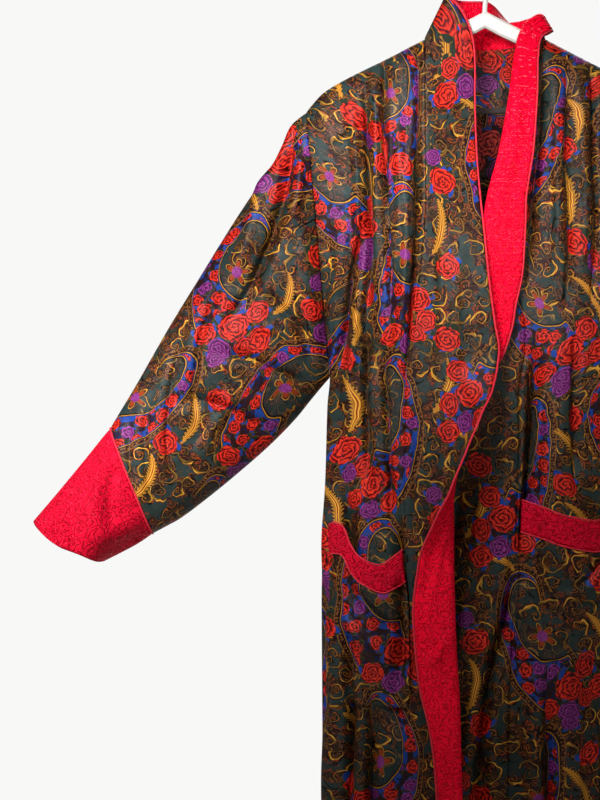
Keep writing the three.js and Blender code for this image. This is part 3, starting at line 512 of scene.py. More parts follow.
# ---- shape of the robe ----
garment = {
    "hem": 1288,
    "yokeRows": 92,
    "yokeSpacing": 1.4,
    "skirtRows": 206,
    "neck": {"reach": 74, "drop": 107, "dip": 8},
    "tip": {"reach": 217, "drop": 196},
    "underarm": {"reach": 188, "drop": 516},
    "sideRound": 2.6,
    "shoulderRound": 80,
    "armholeOpening": 0.0006,
    "foldFade": 0.3,
    "halfSeam": 0.15,
    "thickness": 0.9,
    "seamRoll": 0.5,
    "rollReach": 2.2,
    "mapSlack": 0.3,
}
neck, tip, underarm = garment["neck"], garment["tip"], garment["underarm"]
lap = {"lift": 15, "from": {"right": 88, "left": 40}, "to": 165, "startDrop": 190, "fullDrop": 350}
sides = {"right": -1, "left": 1}

# reach, drop
ridgeRows = [(0, 69), (74, 107), (120, 131), (172, 157), (196, 172), (210, 187), (217, 196)]
# drop, half width, front, back
bodyRows = [
    (107, 217, 32, 42),
    (250, 212, 40, 46),
    (400, 198, 46, 50),
    (516, 188, 48, 53),
    (550, 191, 49, 54),
    (620, 193, 50, 56),
    (790, 198, 53, 61),
    (975, 197, 57, 66),
    (1288, 204, 63, 74),
]
# x at the top, x at the end, drop from, drop to, half width, depth
mainFolds = {
    "front": [
        (-146, -138, 190, 520, 34, -6),
        (-116, -112, 230, 700, 36, 5),
        (-150, -168, 640, 1288, 52, 7),
        (-128, -134, 820, 1288, 44, -8),
        (66, 60, 130, 400, 34, -5),
        (96, 108, 200, 900, 60, 6),
        (32, -4, 640, 1100, 44, -12),
        (74, 84, 760, 1288, 60, 9),
        (134, 140, 420, 1288, 46, -8),
    ],
    "back": [
        (-120, -132, 240, 1288, 60, -9),
        (-66, -72, 330, 1288, 64, 7),
        (-14, -6, 260, 1288, 56, -10),
        (50, 60, 420, 1288, 62, 6),
        (112, 122, 230, 1288, 58, -9),
    ],
}
# drop, seam x, width, bend, radius, turn, lean, rise
bandRows = {
    "right": [
        (107, -74, 60, 26, 8, 0, 6, 64),
        (114, -74, 60, 26, 8, 0, 6, 44),
        (130, -74, 60, 28, 10, 0, 6, 16),
        (172, -74, 61, 30, 20, 0, 15, 2),
        (244, -74, 64, 32, 40, 0, 18, 0),
        (313, -74.4, 68, 36, 50, 0, 14, 0),
        (360, -78.5, 74, 40, 55, 0, 4, 0),
        (400, -83, 82, 42, 60, 0, 0, 0),
        (450, -88.5, 94, 44, 60, 0, 0, 0),
        (490, -93.5, 104, 44, 60, 0, 0, 0),
        (530, -98.6, 104, 44, 60, 24, 0, 0),
        (560, -99.8, 104, 44, 42, 65, 0, 0),
        (600, -100, 104, 44, 25, 86, 0, 0),
        (648, -100.2, 104, 40, 16, 98, 0, 0),
        (690, -100, 104, 42, 14, 134, 0, 0),
        (736, -97.8, 104, 45, 9, 170, 0, 0),
        (800, -91.2, 104, 42, 7, 184, 0, 0),
        (880, -90, 104, 45, 7, 186, 0, 0),
        (932, -98, 104, 55, 7, 186, 0, 0),
        (974, -104, 104, 61, 7, 186, 0, 0),
        (1130, -106, 104, 66, 7, 186, 0, 0),
        (1288, -107, 104, 68, 7, 186, 0, 0),
    ],
    "left": [
        (107, 74, 60, 26, 5, 176, 6, 64),
        (114, 69, 60, 26, 5, 182, 8, 40),
        (130, 64, 60, 24, 5, 184, 8, 14),
        (172, 55, 62, 21, 5, 186, 8, 0),
        (244, 40, 70, 18.6, 6, 186, 6, 0),
        (313, 27, 82, 21, 7, 186, 4, 0),
        (360, 25, 90, 25, 7, 186, 2, 0),
        (400, 30, 97, 33, 7, 186, 0, 0),
        (431, 41, 101, 44, 7, 186, 0, 0),
        (460, 46, 103, 50, 7, 186, 0, 0),
        (490, 45, 104, 55, 7, 186, 0, 0),
        (522, 39, 104, 62, 8, 180, 0, 0),
        (550, 38, 104, 72, 9, 140, 0, 0),
        (595, 38, 104, 74, 18, 62, 0, 0),
        (640, 37, 104, 70, 40, 18, 0, 0),
        (690, 36, 104, 60, 60, 0, 0, 0),
        (736, 34, 104, 60, 60, 0, 0, 0),
        (832, 30, 104, 60, 60, 0, 0, 0),
        (974, 25, 104, 60, 60, 0, 0, 0),
        (1288, 24, 104, 60, 60, 0, 0, 0),
    ],
}
bandColumn = {"x": 1, "width": 2, "bend": 3, "radius": 4, "turn": 5, "lean": 6, "rise": 7}


# Cubic through the values at the keys, with a slope given at each.
def cubic(keys, values, slopes, at):
    i = np.clip(np.searchsorted(keys, at, side="right") - 1, 0, len(keys) - 2)
    span = keys[i + 1] - keys[i]
    t = (at - keys[i]) / span
    if values.ndim > 1:
        span, t = span[:, None], t[:, None]
    ends = values[i] * (2 * t**3 - 3 * t**2 + 1) + values[i + 1] * (3 * t**2 - 2 * t**3)
    return ends + span * (slopes[i] * (t**3 - 2 * t**2 + t) + slopes[i + 1] * (t**3 - t**2))


# Smooth value of a table's column, which never passes its rows.
def read(rows, column, at):
    table = np.array(rows, float)
    keys, values = table[:, 0], table[:, column]
    slope = np.diff(values) / np.diff(keys)
    before, after = slope[:-1], slope[1:]
    same = before * after > 0
    level = np.where(same, 2 * before * after / np.where(same, before + after, 1), 0)
    slopes = np.concatenate([slope[:1], level, slope[-1:]])
    return cubic(keys, values, slopes, np.clip(np.asarray(at, float), keys[0], keys[-1]))


def smoothstep(value, low, high):
    t = np.clip((value - low) / (high - low), 0, 1)
    return t * t * (3 - 2 * t)


def mix(a, b, share):
    return a + (b - a) * share


def ridgeDrop(reach):
    return read(ridgeRows, 1, reach)


def edgeReach(drop):
    share = (underarm["drop"] - drop) / (underarm["drop"] - tip["drop"])
    above = mix(underarm["reach"], tip["reach"], share)
    return np.where(drop >= underarm["drop"], read(bodyRows, 1, drop), above)


def foldRelief(folds, x, drop):
    total = np.zeros(np.broadcast(x, drop).shape)
    for xTop, xEnd, start, end, wide, depth in folds:
        along = (drop - start) / (end - start)
        if end >= garment["hem"]:
            fade = smoothstep(along, 0, garment["foldFade"])
        else:
            fade = np.sin(pi * np.clip(along, 0, 1))
        off = np.clip(np.abs(x - mix(xTop, xEnd, along)) / wide, 0, 1)
        total = total + np.where(along > 0, depth * fade * np.cos(off * pi / 2) ** 2, 0)
    return total


def standOff(face, x, drop):
    reach = np.abs(x)
    above = np.maximum(0, underarm["drop"] - drop)
    limit = edgeReach(drop) * (1 + garment["armholeOpening"] * above)
    across = np.sqrt(np.maximum(0, 1 - (reach / limit) ** garment["sideRound"]))
    fall = np.clip((drop - ridgeDrop(reach)) / garment["shoulderRound"], 0, 1)
    arch = np.sqrt(1 - (1 - fall) ** 2)
    depth = read(bodyRows, {"front": 2, "back": 3}[face], drop)
    return arch * across * (depth + foldRelief(mainFolds[face], x, drop))


def frontY(side, x, drop):
    sign = sides[side]
    middle = 1 - smoothstep(sign * x, lap["from"][side], lap["to"])
    lift = -sign * lap["lift"] * middle * smoothstep(drop, lap["startDrop"], lap["fullDrop"])
    return -(garment["halfSeam"] + standOff("front", x, drop) + lift)


def backY(x, drop):
    return garment["halfSeam"] + standOff("back", x, drop)


def topDrop(reach):
    inside = neck["drop"] + neck["dip"] * (1 - (reach / neck["reach"]) ** 2)
    return np.where(reach >= neck["reach"], ridgeDrop(reach), inside)


def seamReach(side, drop):
    return read(bandRows[side], bandColumn["x"], drop)


# Yoke rows fan from the underarm up to the shoulder; skirt rows are level.
yokeShares = 1 - np.linspace(0, 1, garment["yokeRows"])[:-1] ** garment["yokeSpacing"]
skirtDrops = np.linspace(underarm["drop"], garment["hem"], garment["skirtRows"])


def rowDrops(top):
    top = np.atleast_1d(np.asarray(top, float))
    yoke = underarm["drop"] - yokeShares[:, None] * (underarm["drop"] - top[None, :])
    return np.concatenate([yoke, np.repeat(skirtDrops[:, None], len(top), axis=1)])


# Places along a crease are shares of its length, and the lip's height is a share of the depth.
creaseForm = {
    "narrow": 0.75,  # share of the half width where it is fullest, and what it gains as it dies away
    "gain": 0.5,
    "fullest": 0.45,
    "opens": (0.1, 0.5),
    "grows": (-0.05, 0.24),
    "dies": (0.6, 1.05),
    "growsToHem": (0, 0.35),
    "lip": 0.26,
    "lipReach": 1.9,
    "tuckedWidth": 0.3,  # the wall under the lip is this much narrower
    "tuckedOver": 1.5,  # distances on each side of the pleat's line
    "printJump": 1.2,
}
# Each next wave is longer by "longer", and sways over a longer run.
slackWaves = {
    "count": 5,
    "size": 46,
    "longer": 23,
    "middleSize": 92,
    "turn": 1.3,
    "seedTurn": 1.7,
    "stretch": 0.55,
    "sway": 0.8,
    "swaySize": 70,
    "swayLonger": 11,
    "seedShift": 3.1,
}


# Relief of soft creases. Each is (depth, half width, crispness, [points it runs through]), and depth is
# negative for a trough. A fifth value makes it a pleat: the cloth tucks under a lip on the side where
# "across" is greater (1) or less (-1).
def creaseRelief(creases, across, along):
    total = np.zeros(across.shape)
    for depth, wide, crisp, path, *pleat in creases:
        path = np.array(path, float)
        lengths = np.hypot(*np.diff(path, axis=0).T)
        starts = np.concatenate([[0], np.cumsum(lengths)])
        nearest = np.full(across.shape, 1e9)
        passed, beyond = np.zeros(across.shape), np.zeros(across.shape)
        for k, length in enumerate(lengths):
            (a0, b0), (a1, b1) = path[k], path[k + 1]
            t = ((across - a0) * (a1 - a0) + (along - b0) * (b1 - b0)) / length**2
            t = np.clip(t, 0, 1)
            away = np.hypot(across - mix(a0, a1, t), along - mix(b0, b1, t))
            closer = away < nearest
            nearest = np.where(closer, away, nearest)
            passed = np.where(closer, starts[k] + t * length, passed)
            beyond = np.where(closer, across - mix(a0, a1, t), beyond)
        share = passed / starts[-1]
        opening = smoothstep(np.abs(share - creaseForm["fullest"]), *creaseForm["opens"])
        wide = wide * (creaseForm["narrow"] + creaseForm["gain"] * opening)
        q = np.clip(nearest / wide, 0, 1)
        lip = 0
        if pleat:
            tucked = smoothstep(beyond * pleat[0], -creaseForm["tuckedOver"], creaseForm["tuckedOver"])
            rounded = np.sin(pi * smoothstep(nearest, 1.0, wide * creaseForm["lipReach"]))
            lip = -creaseForm["lip"] * tucked * rounded
            q = np.clip(nearest / (wide * mix(1, creaseForm["tuckedWidth"], tucked)), 0, 1)
        grown = smoothstep(share, *creaseForm["grows"]) * (1 - smoothstep(share, *creaseForm["dies"]))
        if path[-1][1] >= garment["hem"] - 1:  # runs out through the hem
            grown = smoothstep(share, *creaseForm["growsToHem"])
        total += depth * grown * ((1 - q) ** 2 * (1 + q * (1 - crisp)) ** 2 + lip)
    return total


# Cloth hidden in the pleats between the band's seam and each place, which makes the print jump there.
def takenUp(creases, across, along):
    total, reach = np.zeros(across.shape), creaseForm["printJump"]
    for depth, _, _, path, *pleat in creases:
        if pleat:
            x, drop = np.array(path, float).T
            at = np.interp(along, drop, x)
            share = np.clip((along - drop[0]) / (drop[-1] - drop[0]), 0, 1)
            total -= depth * np.sin(pi * share) * smoothstep((across - at) * np.sign(at), -reach, reach)
    return total


# Slight slackness everywhere, so that no stretch of cloth is perfectly even.
def slackness(across, along, seed, depth):
    total, waves = np.zeros(across.shape), slackWaves
    for k in range(waves["count"]):
        turn = seed * waves["seedTurn"] + k * waves["turn"]
        size = waves["size"] + waves["longer"] * k
        run = (across * cos(turn) + along * sin(turn) * waves["stretch"]) * 2 * pi / size
        sway = waves["sway"] * np.sin(along / (waves["swaySize"] + waves["swayLonger"] * k) + k)
        total += np.sin(run + seed * waves["seedShift"] + k + sway) * (size / waves["middleSize"])
    return total * depth / waves["count"]


def gridNormals(points, ring=False):
    if ring:
        over = np.roll(points, -1, axis=1) - np.roll(points, 1, axis=1)
    else:
        over = np.gradient(points, axis=1)
    down = np.gradient(points, axis=0)
    normal = np.cross(over, down)
    return normal / np.maximum(np.linalg.norm(normal, axis=2, keepdims=True), 1e-9)


# Normals of a grid that faces the back (1) or the front (-1).
def normalsTowards(points, face):
    normal = gridNormals(points)
    return normal if normal[..., 1].mean() * face > 0 else -normal


def unit(vectors):
    return vectors / np.linalg.norm(vectors, axis=-1, keepdims=True)


def runAlong(line):
    return np.concatenate([[0], np.cumsum(np.linalg.norm(np.diff(line, axis=0), axis=1))])


def lengthsAlong(points, axis):
    step = np.linalg.norm(np.diff(points, axis=axis), axis=2)
    start = np.zeros((1, step.shape[1])) if axis == 0 else np.zeros((step.shape[0], 1))
    return np.cumsum(np.concatenate([start, step], axis=axis), axis=axis)


# Place of each point on the flat print, which starts at its own place on each piece.
def printMap(across, drop, start):
    return np.stack([across + start[0], -drop + start[1]], -1)


def placePiece(name, mesh, places, node):
    layer = mesh.uv_layers.new(name="clothMap")
    layer.data.foreach_set("uv", places.astype(np.float32).ravel())
    mesh.polygons.foreach_set("use_smooth", np.ones(len(mesh.polygons), bool))
    mesh.update()
    piece = bpy.data.objects.new(name, mesh)
    bpy.context.scene.collection.objects.link(piece)
    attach(piece, "root")
    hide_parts(node)
    return piece


cutSizes = []


# Makes a cloth piece from a grid of points. fabricMap holds each point's place in the flat cloth, and
# outside which way its right side faces. The last edgeRows rows show the wrong side's finish.
def makeCloth(name, points, fabricMap, outside, finish, node, ring=False, edgeRows=0):
    index = np.arange(points[..., 0].size).reshape(points.shape[:2])
    mapIndex = np.arange(fabricMap[..., 0].size).reshape(fabricMap.shape[:2])
    nextColumn = np.roll(index, -1, axis=1) if ring else index[:, 1:]
    thisColumn = index if ring else index[:, :-1]
    corners = [(thisColumn, nextColumn), (mapIndex[:, :-1], mapIndex[:, 1:])]
    quads, mapQuads = (np.stack([a[:-1], b[:-1], b[1:], a[1:]], -1).reshape(-1, 4) for a, b in corners)
    at = points.reshape(-1, 3)[quads]
    facing = np.cross(at[:, 2] - at[:, 0], at[:, 3] - at[:, 1])
    if (facing * outside.reshape(-1, 3)[quads[:, 0]]).sum() < 0:
        quads, mapQuads = quads[:, ::-1], mapQuads[:, ::-1]
    mesh = bpy.data.meshes.new(name)
    mesh.from_pydata((points.reshape(-1, 3) * metre).tolist(), [], quads.tolist())
    for side in (finish, finish + "Back"):
        mesh.materials.append(finishes[side])
    if edgeRows:
        turned = np.zeros((len(points) - 1, thisColumn.shape[1]), np.int32)
        turned[-edgeRows:] = 1
        mesh.polygons.foreach_set("material_index", turned.ravel())
    places = fabricMap.reshape(-1, 2)[mapQuads.reshape(-1)] * metre
    piece = placePiece(name, mesh, places, node)
    shell = piece.modifiers.new("shell", "SOLIDIFY")
    shell.thickness = garment["thickness"] * metre
    shell.offset = 0
    shell.material_offset = 1
    shell.material_offset_rim = 0
    area = np.linalg.norm(facing, axis=1).sum() / 2 * metre**2
    long = (fabricMap[..., 1].max() - fabricMap[..., 1].min()) * metre
    wide = max((fabricMap[..., 0].max() - fabricMap[..., 0].min()) * metre, area / long)
    cutSizes.append((name, round(wide * 1000), round(long * 1000), round(area, 4)))


# Rolls a sewn edge in a little, so that each seam shows as a soft groove.
def rolledEdges(distance, depth=garment["seamRoll"]):
    return -depth * np.exp(-((distance / garment["rollReach"]) ** 2))


def frontShape(side, share):
    drops = rowDrops(ridgeDrop(mix(tip["reach"], neck["reach"], share)))
    edge = edgeReach(rowDrops([tip["drop"]])[:, 0])
    seam = seamReach(side, rowDrops([neck["drop"]])[:, 0])
    return mix(sides[side] * edge[:, None], seam[:, None], share[None, :]), drops


def frontSurface(side, x, drop):
    return np.stack([x, frontY(side, x, drop), -drop], -1)


# ---- front panels ----
frontHold = {"edges": 14, "top": 20, "creasedFromSide": 10, "creasedFromTop": 14, "creasedFromBand": 5}
frontRoll = {"side": 0.3, "band": 0.9}
frontPieces = {
    "right": {
        "columns": 92,
        "print": (40.0, 0.0),
        "slack": 0.9,
        "creases": [
            (-6, 8, 0.6, [(-186, 238), (-162, 222), (-142, 212)]),
            (-24, 14, 0.9, [(-147, 170), (-145, 270), (-144, 372), (-148, 480)], -1),
            (-20, 11, 0.9, [(-124, 120), (-125, 240), (-124, 330), (-117, 470)], -1),
            (-10, 10, 0.8, [(-84, 100), (-83, 180), (-85, 260), (-86, 330)], -1),
            (-20, 12, 0.9, [(-85, 230), (-88, 350), (-93, 430), (-101, 560)], -1),
            (4, 12, 0.2, [(-106, 180), (-106, 280), (-106, 400)]),
            (-20, 20, 0.7, [(-148, 326), (-163, 392), (-171, 450), (-179, 500), (-190, 524)], -1),
            (6, 13, 0.2, [(-146, 400), (-158, 460), (-166, 520), (-168, 600)]),
            (-16, 14, 0.6, [(-146, 450), (-150, 540), (-144, 640)], -1),
            (-26, 20, 0.6, [(-172, 640), (-169, 760), (-166, 850), (-168, 960), (-170, 1100)], -1),
            (-26, 16, 0.6, [(-106, 680), (-103, 780), (-105, 860), (-114, 940)]),
            (-14, 13, 0.6, [(-128, 480), (-124, 570), (-120, 640), (-116, 706)], -1),
            (-20, 20, 0.5, [(-138, 860), (-144, 1010), (-142, 1120), (-148, 1288)], -1),
            (6, 16, 0.2, [(-122, 900), (-120, 1040), (-118, 1288)]),
        ],
    },
    "left": {
        "columns": 116,
        "print": (0.0, 150.0),
        "slack": 1.0,
        "creases": [
            (-16, 13, 0.8, [(68, 120), (61, 250), (53, 330), (48, 420)], -1),
            (-14, 12, 0.8, [(96, 140), (92, 260), (96, 360), (92, 450)], -1),
            (-15, 12, 0.8, [(126, 130), (124, 240), (128, 330), (124, 440)], -1),
            (-6, 8, 0.6, [(184, 236), (164, 224), (144, 212)]),
            (-12, 15, 0.6, [(147, 196), (148, 300), (146, 400)], 1),
            (-19, 19, 0.6, [(150, 326), (168, 404), (174, 455), (180, 500), (190, 522)], 1),
            (6, 12, 0.2, [(156, 430), (163, 490), (164, 560)]),
            (-11, 16, 0.5, [(104, 460), (100, 560), (106, 660)], -1),
            (-24, 19, 0.6, [(56, 480), (48, 600), (42, 680), (36, 750)], -1),
            (6, 15, 0.2, [(62, 520), (58, 620), (56, 720)]),
            (-20, 20, 0.5, [(72, 840), (66, 980), (70, 1100), (66, 1288)], -1),
            (7, 18, 0.2, [(106, 830), (104, 960), (108, 1100), (106, 1288)]),
            (-22, 20, 0.5, [(170, 640), (168, 820), (164, 940), (168, 1100), (166, 1288)], 1),
            (-11, 18, 0.5, [(134, 880), (138, 1000), (134, 1120), (138, 1288)], -1),
        ],
    },
}


def makeFront(side, design):
    share = np.linspace(0, 1, design["columns"] + 1) ** 1.2  # closer rows of points by the side seam
    x, drop = frontShape(side, share)
    points = frontSurface(side, x, drop)
    normal = normalsTowards(points, -1)
    across, along = lengthsAlong(points, 1), lengthsAlong(points, 0)
    toBand = across[:, -1:] - across
    held = smoothstep(np.minimum(across, toBand), 0, frontHold["edges"])  # sewn edges stay put
    held = held * smoothstep(along, 0, frontHold["top"])
    lift = creaseRelief(design["creases"], x, drop) * smoothstep(across, 0, frontHold["creasedFromSide"])
    lift = lift * smoothstep(along, 0, frontHold["creasedFromTop"])
    lift *= smoothstep(toBand, 0, frontHold["creasedFromBand"])
    lift += slackness(across, along, sides[side] + 2, design["slack"]) * held
    lift += rolledEdges(across, frontRoll["side"]) + rolledEdges(toBand, frontRoll["band"])
    points = points + normal * lift[..., None]
    laid = lengthsAlong(points, 1)
    laid = mix(np.abs(x - x[:, -1:]), laid[:, -1:] - laid, garment["mapSlack"])
    laid += takenUp(design["creases"], x, drop)
    laid = sides[side] * (laid + np.abs(seamReach(side, drop)))
    fabricMap = printMap(laid, drop, design["print"])
    makeCloth("frontPanel_" + side, points, fabricMap, normal, "print", "front_" + side)


for side in sides:
    makeFront(side, frontPieces[side])
print("front panels made")

# ---- back panel and its neck facing ----
backPiece = {
    "columns": 148,
    "print": (177.0, -13.0),
    "slack": 1.1,
    "hold": {"edges": 14, "top": 22, "creasedFromSide": 10, "creasedFromTop": 20},
    "facingColumns": 52,
    "facingPrint": (150, 80),
    "facingTo": 0.805,
    "facingOff": 1.8,
    "facingEdge": 5,  # its lower edge stands off over this reach, by the next value
    "facingStandsOff": 1.3,
    "facingRaised": 0.9,  # its upper edge is drawn up by this, over the next value
    "facingRaisedOver": 3,
    "creases": [
        (-4, 12, 0.5, [(-150, 210), (-146, 300), (-150, 400)]),
        (-4, 12, 0.5, [(150, 210), (148, 310), (152, 410)]),
        (-11, 15, 0.6, [(-150, 340), (-168, 420), (-176, 470), (-190, 522)]),
        (-11, 15, 0.6, [(150, 330), (168, 410), (177, 468), (190, 522)]),
        (5, 14, 0.2, [(-140, 420), (-156, 500), (-158, 590)]),
        (5, 14, 0.2, [(142, 410), (158, 490), (160, 580)]),
        (-3.5, 14, 0.4, [(-70, 170), (-40, 196), (0, 206), (42, 194), (72, 168)]),
        (-6, 16, 0.5, [(-96, 300), (-100, 440), (-96, 600), (-102, 760)]),
        (5, 18, 0.2, [(-36, 280), (-40, 420), (-38, 580), (-42, 720)]),
        (-6, 17, 0.5, [(22, 330), (26, 480), (22, 640), (30, 820)]),
        (5, 18, 0.2, [(86, 300), (90, 430), (84, 580), (90, 700)]),
        (-8, 18, 0.5, [(-156, 640), (-160, 780), (-156, 940), (-162, 1288)]),
        (-7, 18, 0.5, [(-92, 800), (-96, 940), (-92, 1100), (-98, 1288)]),
        (7, 20, 0.2, [(-46, 780), (-42, 920), (-46, 1080), (-44, 1288)]),
        (-7, 18, 0.5, [(16, 860), (20, 1000), (16, 1140), (22, 1288)]),
        (7, 20, 0.2, [(92, 760), (96, 900), (92, 1060), (96, 1288)]),
        (-8, 18, 0.5, [(158, 660), (160, 800), (156, 960), (162, 1288)]),
    ],
}


def backSurface(share):
    x = share[None, :] * edgeReach(rowDrops([tip["drop"]])[:, 0])[:, None]
    drop = rowDrops(topDrop(np.abs(share) * tip["reach"]))
    return x, drop, np.stack([x, backY(x, drop), -drop], -1)


def makeBack(design):
    run = np.linspace(-1, 1, design["columns"] + 1)
    share = np.sign(run) * (1 - (1 - np.abs(run)) ** 1.5)
    x, drop, points = backSurface(share)
    normal = normalsTowards(points, 1)
    across, along = lengthsAlong(points, 1), lengthsAlong(points, 0)
    clear = np.minimum(across, across[:, -1:] - across)
    hold = design["hold"]
    held = smoothstep(clear, 0, hold["edges"]) * smoothstep(along, 0, hold["top"])
    lift = creaseRelief(design["creases"], x, drop) * smoothstep(clear, 0, hold["creasedFromSide"])
    lift = lift * smoothstep(along, 0, hold["creasedFromTop"])
    lift += slackness(across, along, 5, design["slack"]) * held
    lift += rolledEdges(clear)
    points = points + normal * lift[..., None]
    laid = lengthsAlong(points, 1)
    laid = mix(x, laid - laid[:, design["columns"] // 2][:, None], garment["mapSlack"])
    makeCloth("backPanel", points, printMap(laid, drop, design["print"]), normal, "print", "back")


# The facing lies inside the back of the neck, and tape binds its lower edge.
def makeNeckFacing(design):
    edge = neck["reach"] / tip["reach"] - 0.01
    columns = design["facingColumns"]
    _, drop, points = backSurface(np.linspace(-edge, edge, columns))
    normal = normalsTowards(points, -1)
    height = underarm["drop"] - drop[:, columns // 2]
    kept = height / height[0] > design["facingTo"]
    points, normal, drop = points[kept], normal[kept], drop[kept]
    along = lengthsAlong(points, 0)
    toEdge = along[-1:] - along
    standsOff = np.exp(-((toEdge / design["facingEdge"]) ** 4))
    lift = design["facingOff"] + design["facingStandsOff"] * standsOff
    points = points + normal * lift[..., None]
    points[..., 2] += design["facingRaised"] * np.exp(-((along / design["facingRaisedOver"]) ** 2))
    fabricMap = printMap(lengthsAlong(points, 1), drop, design["facingPrint"])
    name, node = "neckFacing", "back_neck_facing"
    makeCloth(name, points, fabricMap, normal, "bound", node, edgeRows=2)


makeBack(backPiece)
makeNeckFacing(backPiece)
print("back made")

# ---- sleeves and cuffs ----
# top reach, top drop, low reach, low drop, depth
sleeveRows = [
    (235, 211, 198, 527, 35),
    (246, 235, 212, 544, 37),
    (259, 262, 229, 565, 39),
    (288, 305, 258, 595, 41),
    (328, 366, 294, 627, 42),
    (373, 440, 334, 660, 41),
    (413, 508, 370, 687, 38),
    (436, 547, 388, 697, 36),
    (454, 578, 403, 705, 35),
]
cuffRows = [(478, 608, 419, 716, 39), (513, 650, 439, 727, 47), (547, 690, 460, 737, 56)]
sleevePiece = {
    "name": "sleeveTube_",
    "node": "sleeve_",
    "finish": "print",
    "rows": 136,
    "around": 216,
    "print": {"right": (60.0, 210.0), "left": (200.0, 90.0)},
    "slack": 1.0,
    "seed": 3,
    "seam": 0.35,
    "ringPoints": 1401,  # an oval is traced through these, and each face of an armhole through the next
    "armholePoints": 700,
    "armholeCloses": 1 / 400,  # over this share of its height
    "slope": 38.4,  # degrees from level, in which the cut is laid flat
    "heldFor": (16, 12),  # from its first end, and from its last
    "rolledBy": (0.3, 0.5),
    "sag": (0, 0),
    "front": [  # reach, drop
        (-20, 22, 0.5, [(230, 214), (243, 250), (248, 296), (262, 350), (284, 404), (318, 460)], 1),
        (7, 16, 0.2, [(264, 250), (275, 305), (292, 360), (318, 410)]),
        (7, 13, 0.2, [(222, 240), (228, 300), (242, 356)]),
        (-8, 10, 0.5, [(204, 240), (194, 310), (190, 378), (188, 440)], 1),
        (-7, 13, 0.5, [(206, 500), (226, 456), (256, 424), (294, 408)]),
        (-9, 15, 0.5, [(208, 534), (246, 512), (290, 494), (334, 486)], 1),
        (5, 14, 0.2, [(212, 486), (246, 462), (286, 446)]),
        (-8, 14, 0.5, [(256, 590), (300, 558), (346, 542), (388, 550)]),
        (-7, 14, 0.4, [(322, 400), (346, 470), (354, 530), (348, 590)], 1),
        (5, 15, 0.2, [(300, 530), (330, 580), (352, 630)]),
        (-6, 12, 0.5, [(366, 460), (382, 530), (386, 590), (378, 650)], 1),
        (-5, 11, 0.5, [(404, 530), (412, 590), (406, 650), (394, 694)]),
        (-4, 10, 0.4, [(430, 560), (430, 610), (420, 660)]),
    ],
    "back": [
        (-14, 19, 0.5, [(238, 208), (250, 260), (256, 320), (276, 380), (306, 430)], 1),
        (6, 14, 0.2, [(222, 246), (228, 310), (238, 380)]),
        (-11, 16, 0.5, [(202, 490), (232, 440), (270, 410), (306, 402)], 1),
        (-8, 15, 0.5, [(212, 534), (256, 508), (300, 496), (338, 500)]),
        (-8, 14, 0.4, [(320, 420), (340, 490), (346, 560), (338, 610)], 1),
        (5, 14, 0.2, [(296, 540), (330, 586), (356, 634)]),
        (-6, 13, 0.5, [(368, 480), (386, 550), (384, 620), (372, 668)]),
        (-5, 11, 0.4, [(410, 560), (414, 620), (402, 676)]),
    ],
}
cuffPiece = {
    "name": "cuffTube_",
    "node": "cuff_",
    "finish": "red",
    "rows": 30,
    "print": {"right": (0.0, 0.0), "left": (0.0, 0.0)},
    "slack": 0.8,
    "seed": 7,
    "heldFor": (12,),
    "rolledBy": (0.5,),
    "sag": (8, 1.3),  # of the mouth's front, and how unevenly
    "front": [
        (-5, 13, 0.4, [(440, 600), (452, 650), (448, 706)]),
        (4, 14, 0.2, [(466, 620), (470, 670), (460, 720)]),
        (-5, 13, 0.5, [(500, 640), (498, 690), (486, 730)]),
        (-4, 10, 0.5, [(524, 674), (508, 712), (484, 736)]),
        (2, 18, 0.0, [(404, 680), (436, 692), (474, 698)]),
        (-4, 20, 0.0, [(408, 710), (440, 720), (472, 726)]),
    ],
    "back": [
        (-5, 14, 0.4, [(452, 610), (460, 660), (452, 712)]),
        (-4, 13, 0.4, [(502, 652), (496, 700), (478, 734)]),
    ],
}


# Spreads a ring's points evenly from the underarm up one face to the top and down the other.
def evenRing(dense, around):
    half = len(dense) // 2
    parts = []
    for part in (dense[: half + 1], dense[half:]):
        run = runAlong(part)
        wanted = np.linspace(0, run[-1], around // 2 + 1)[:-1]
        parts.append(np.stack([np.interp(wanted, run, part[:, k]) for k in range(3)], -1))
    return np.concatenate(parts)


def armholeRing(side, around):
    sign = sides[side]
    lean = atan2(tip["reach"] - underarm["reach"], underarm["drop"] - tip["drop"])
    out = np.array([sign * cos(lean), 0, -sin(lean)])
    turn = np.linspace(0, pi, sleevePiece["armholePoints"])
    share = (1 - np.cos(turn)) / 2  # 0 at the underarm, 1 at the top
    drop = mix(underarm["drop"], tip["drop"], share)
    x = sign * edgeReach(drop)
    faces = []
    for y, order in ((frontY(side, x, drop), 1), (backY(x, drop), -1)):
        y = y * np.minimum(1, np.minimum(share, 1 - share) / sleevePiece["armholeCloses"])
        faces.append(np.stack([x, y, -drop], -1)[::order])
    dense = np.concatenate([faces[0], faces[1][1:]])
    return evenRing(dense, around) + out * sleevePiece["seam"]


def ovalRing(side, row, around):
    topReach, top, lowReach, low, depth = row
    turn = np.linspace(0, 2 * pi, sleevePiece["ringPoints"])
    share = (1 - np.cos(turn)) / 2
    x = sides[side] * mix(lowReach, topReach, share)
    return evenRing(np.stack([x, -depth * np.sin(turn), -mix(low, top, share)], -1), around)


def tubeThrough(rings, count):
    rings = np.array(rings)
    run = runAlong(rings.mean(axis=1))
    flat = rings.reshape(len(rings), -1)
    slope = np.diff(flat, axis=0) / np.diff(run)[:, None]
    slopes = np.concatenate([slope[:1], (slope[:-1] + slope[1:]) / 2, slope[-1:]])
    wanted = np.linspace(0, run[-1], count)
    return cubic(run, flat, slopes, wanted).reshape(count, rings.shape[1], 3), wanted


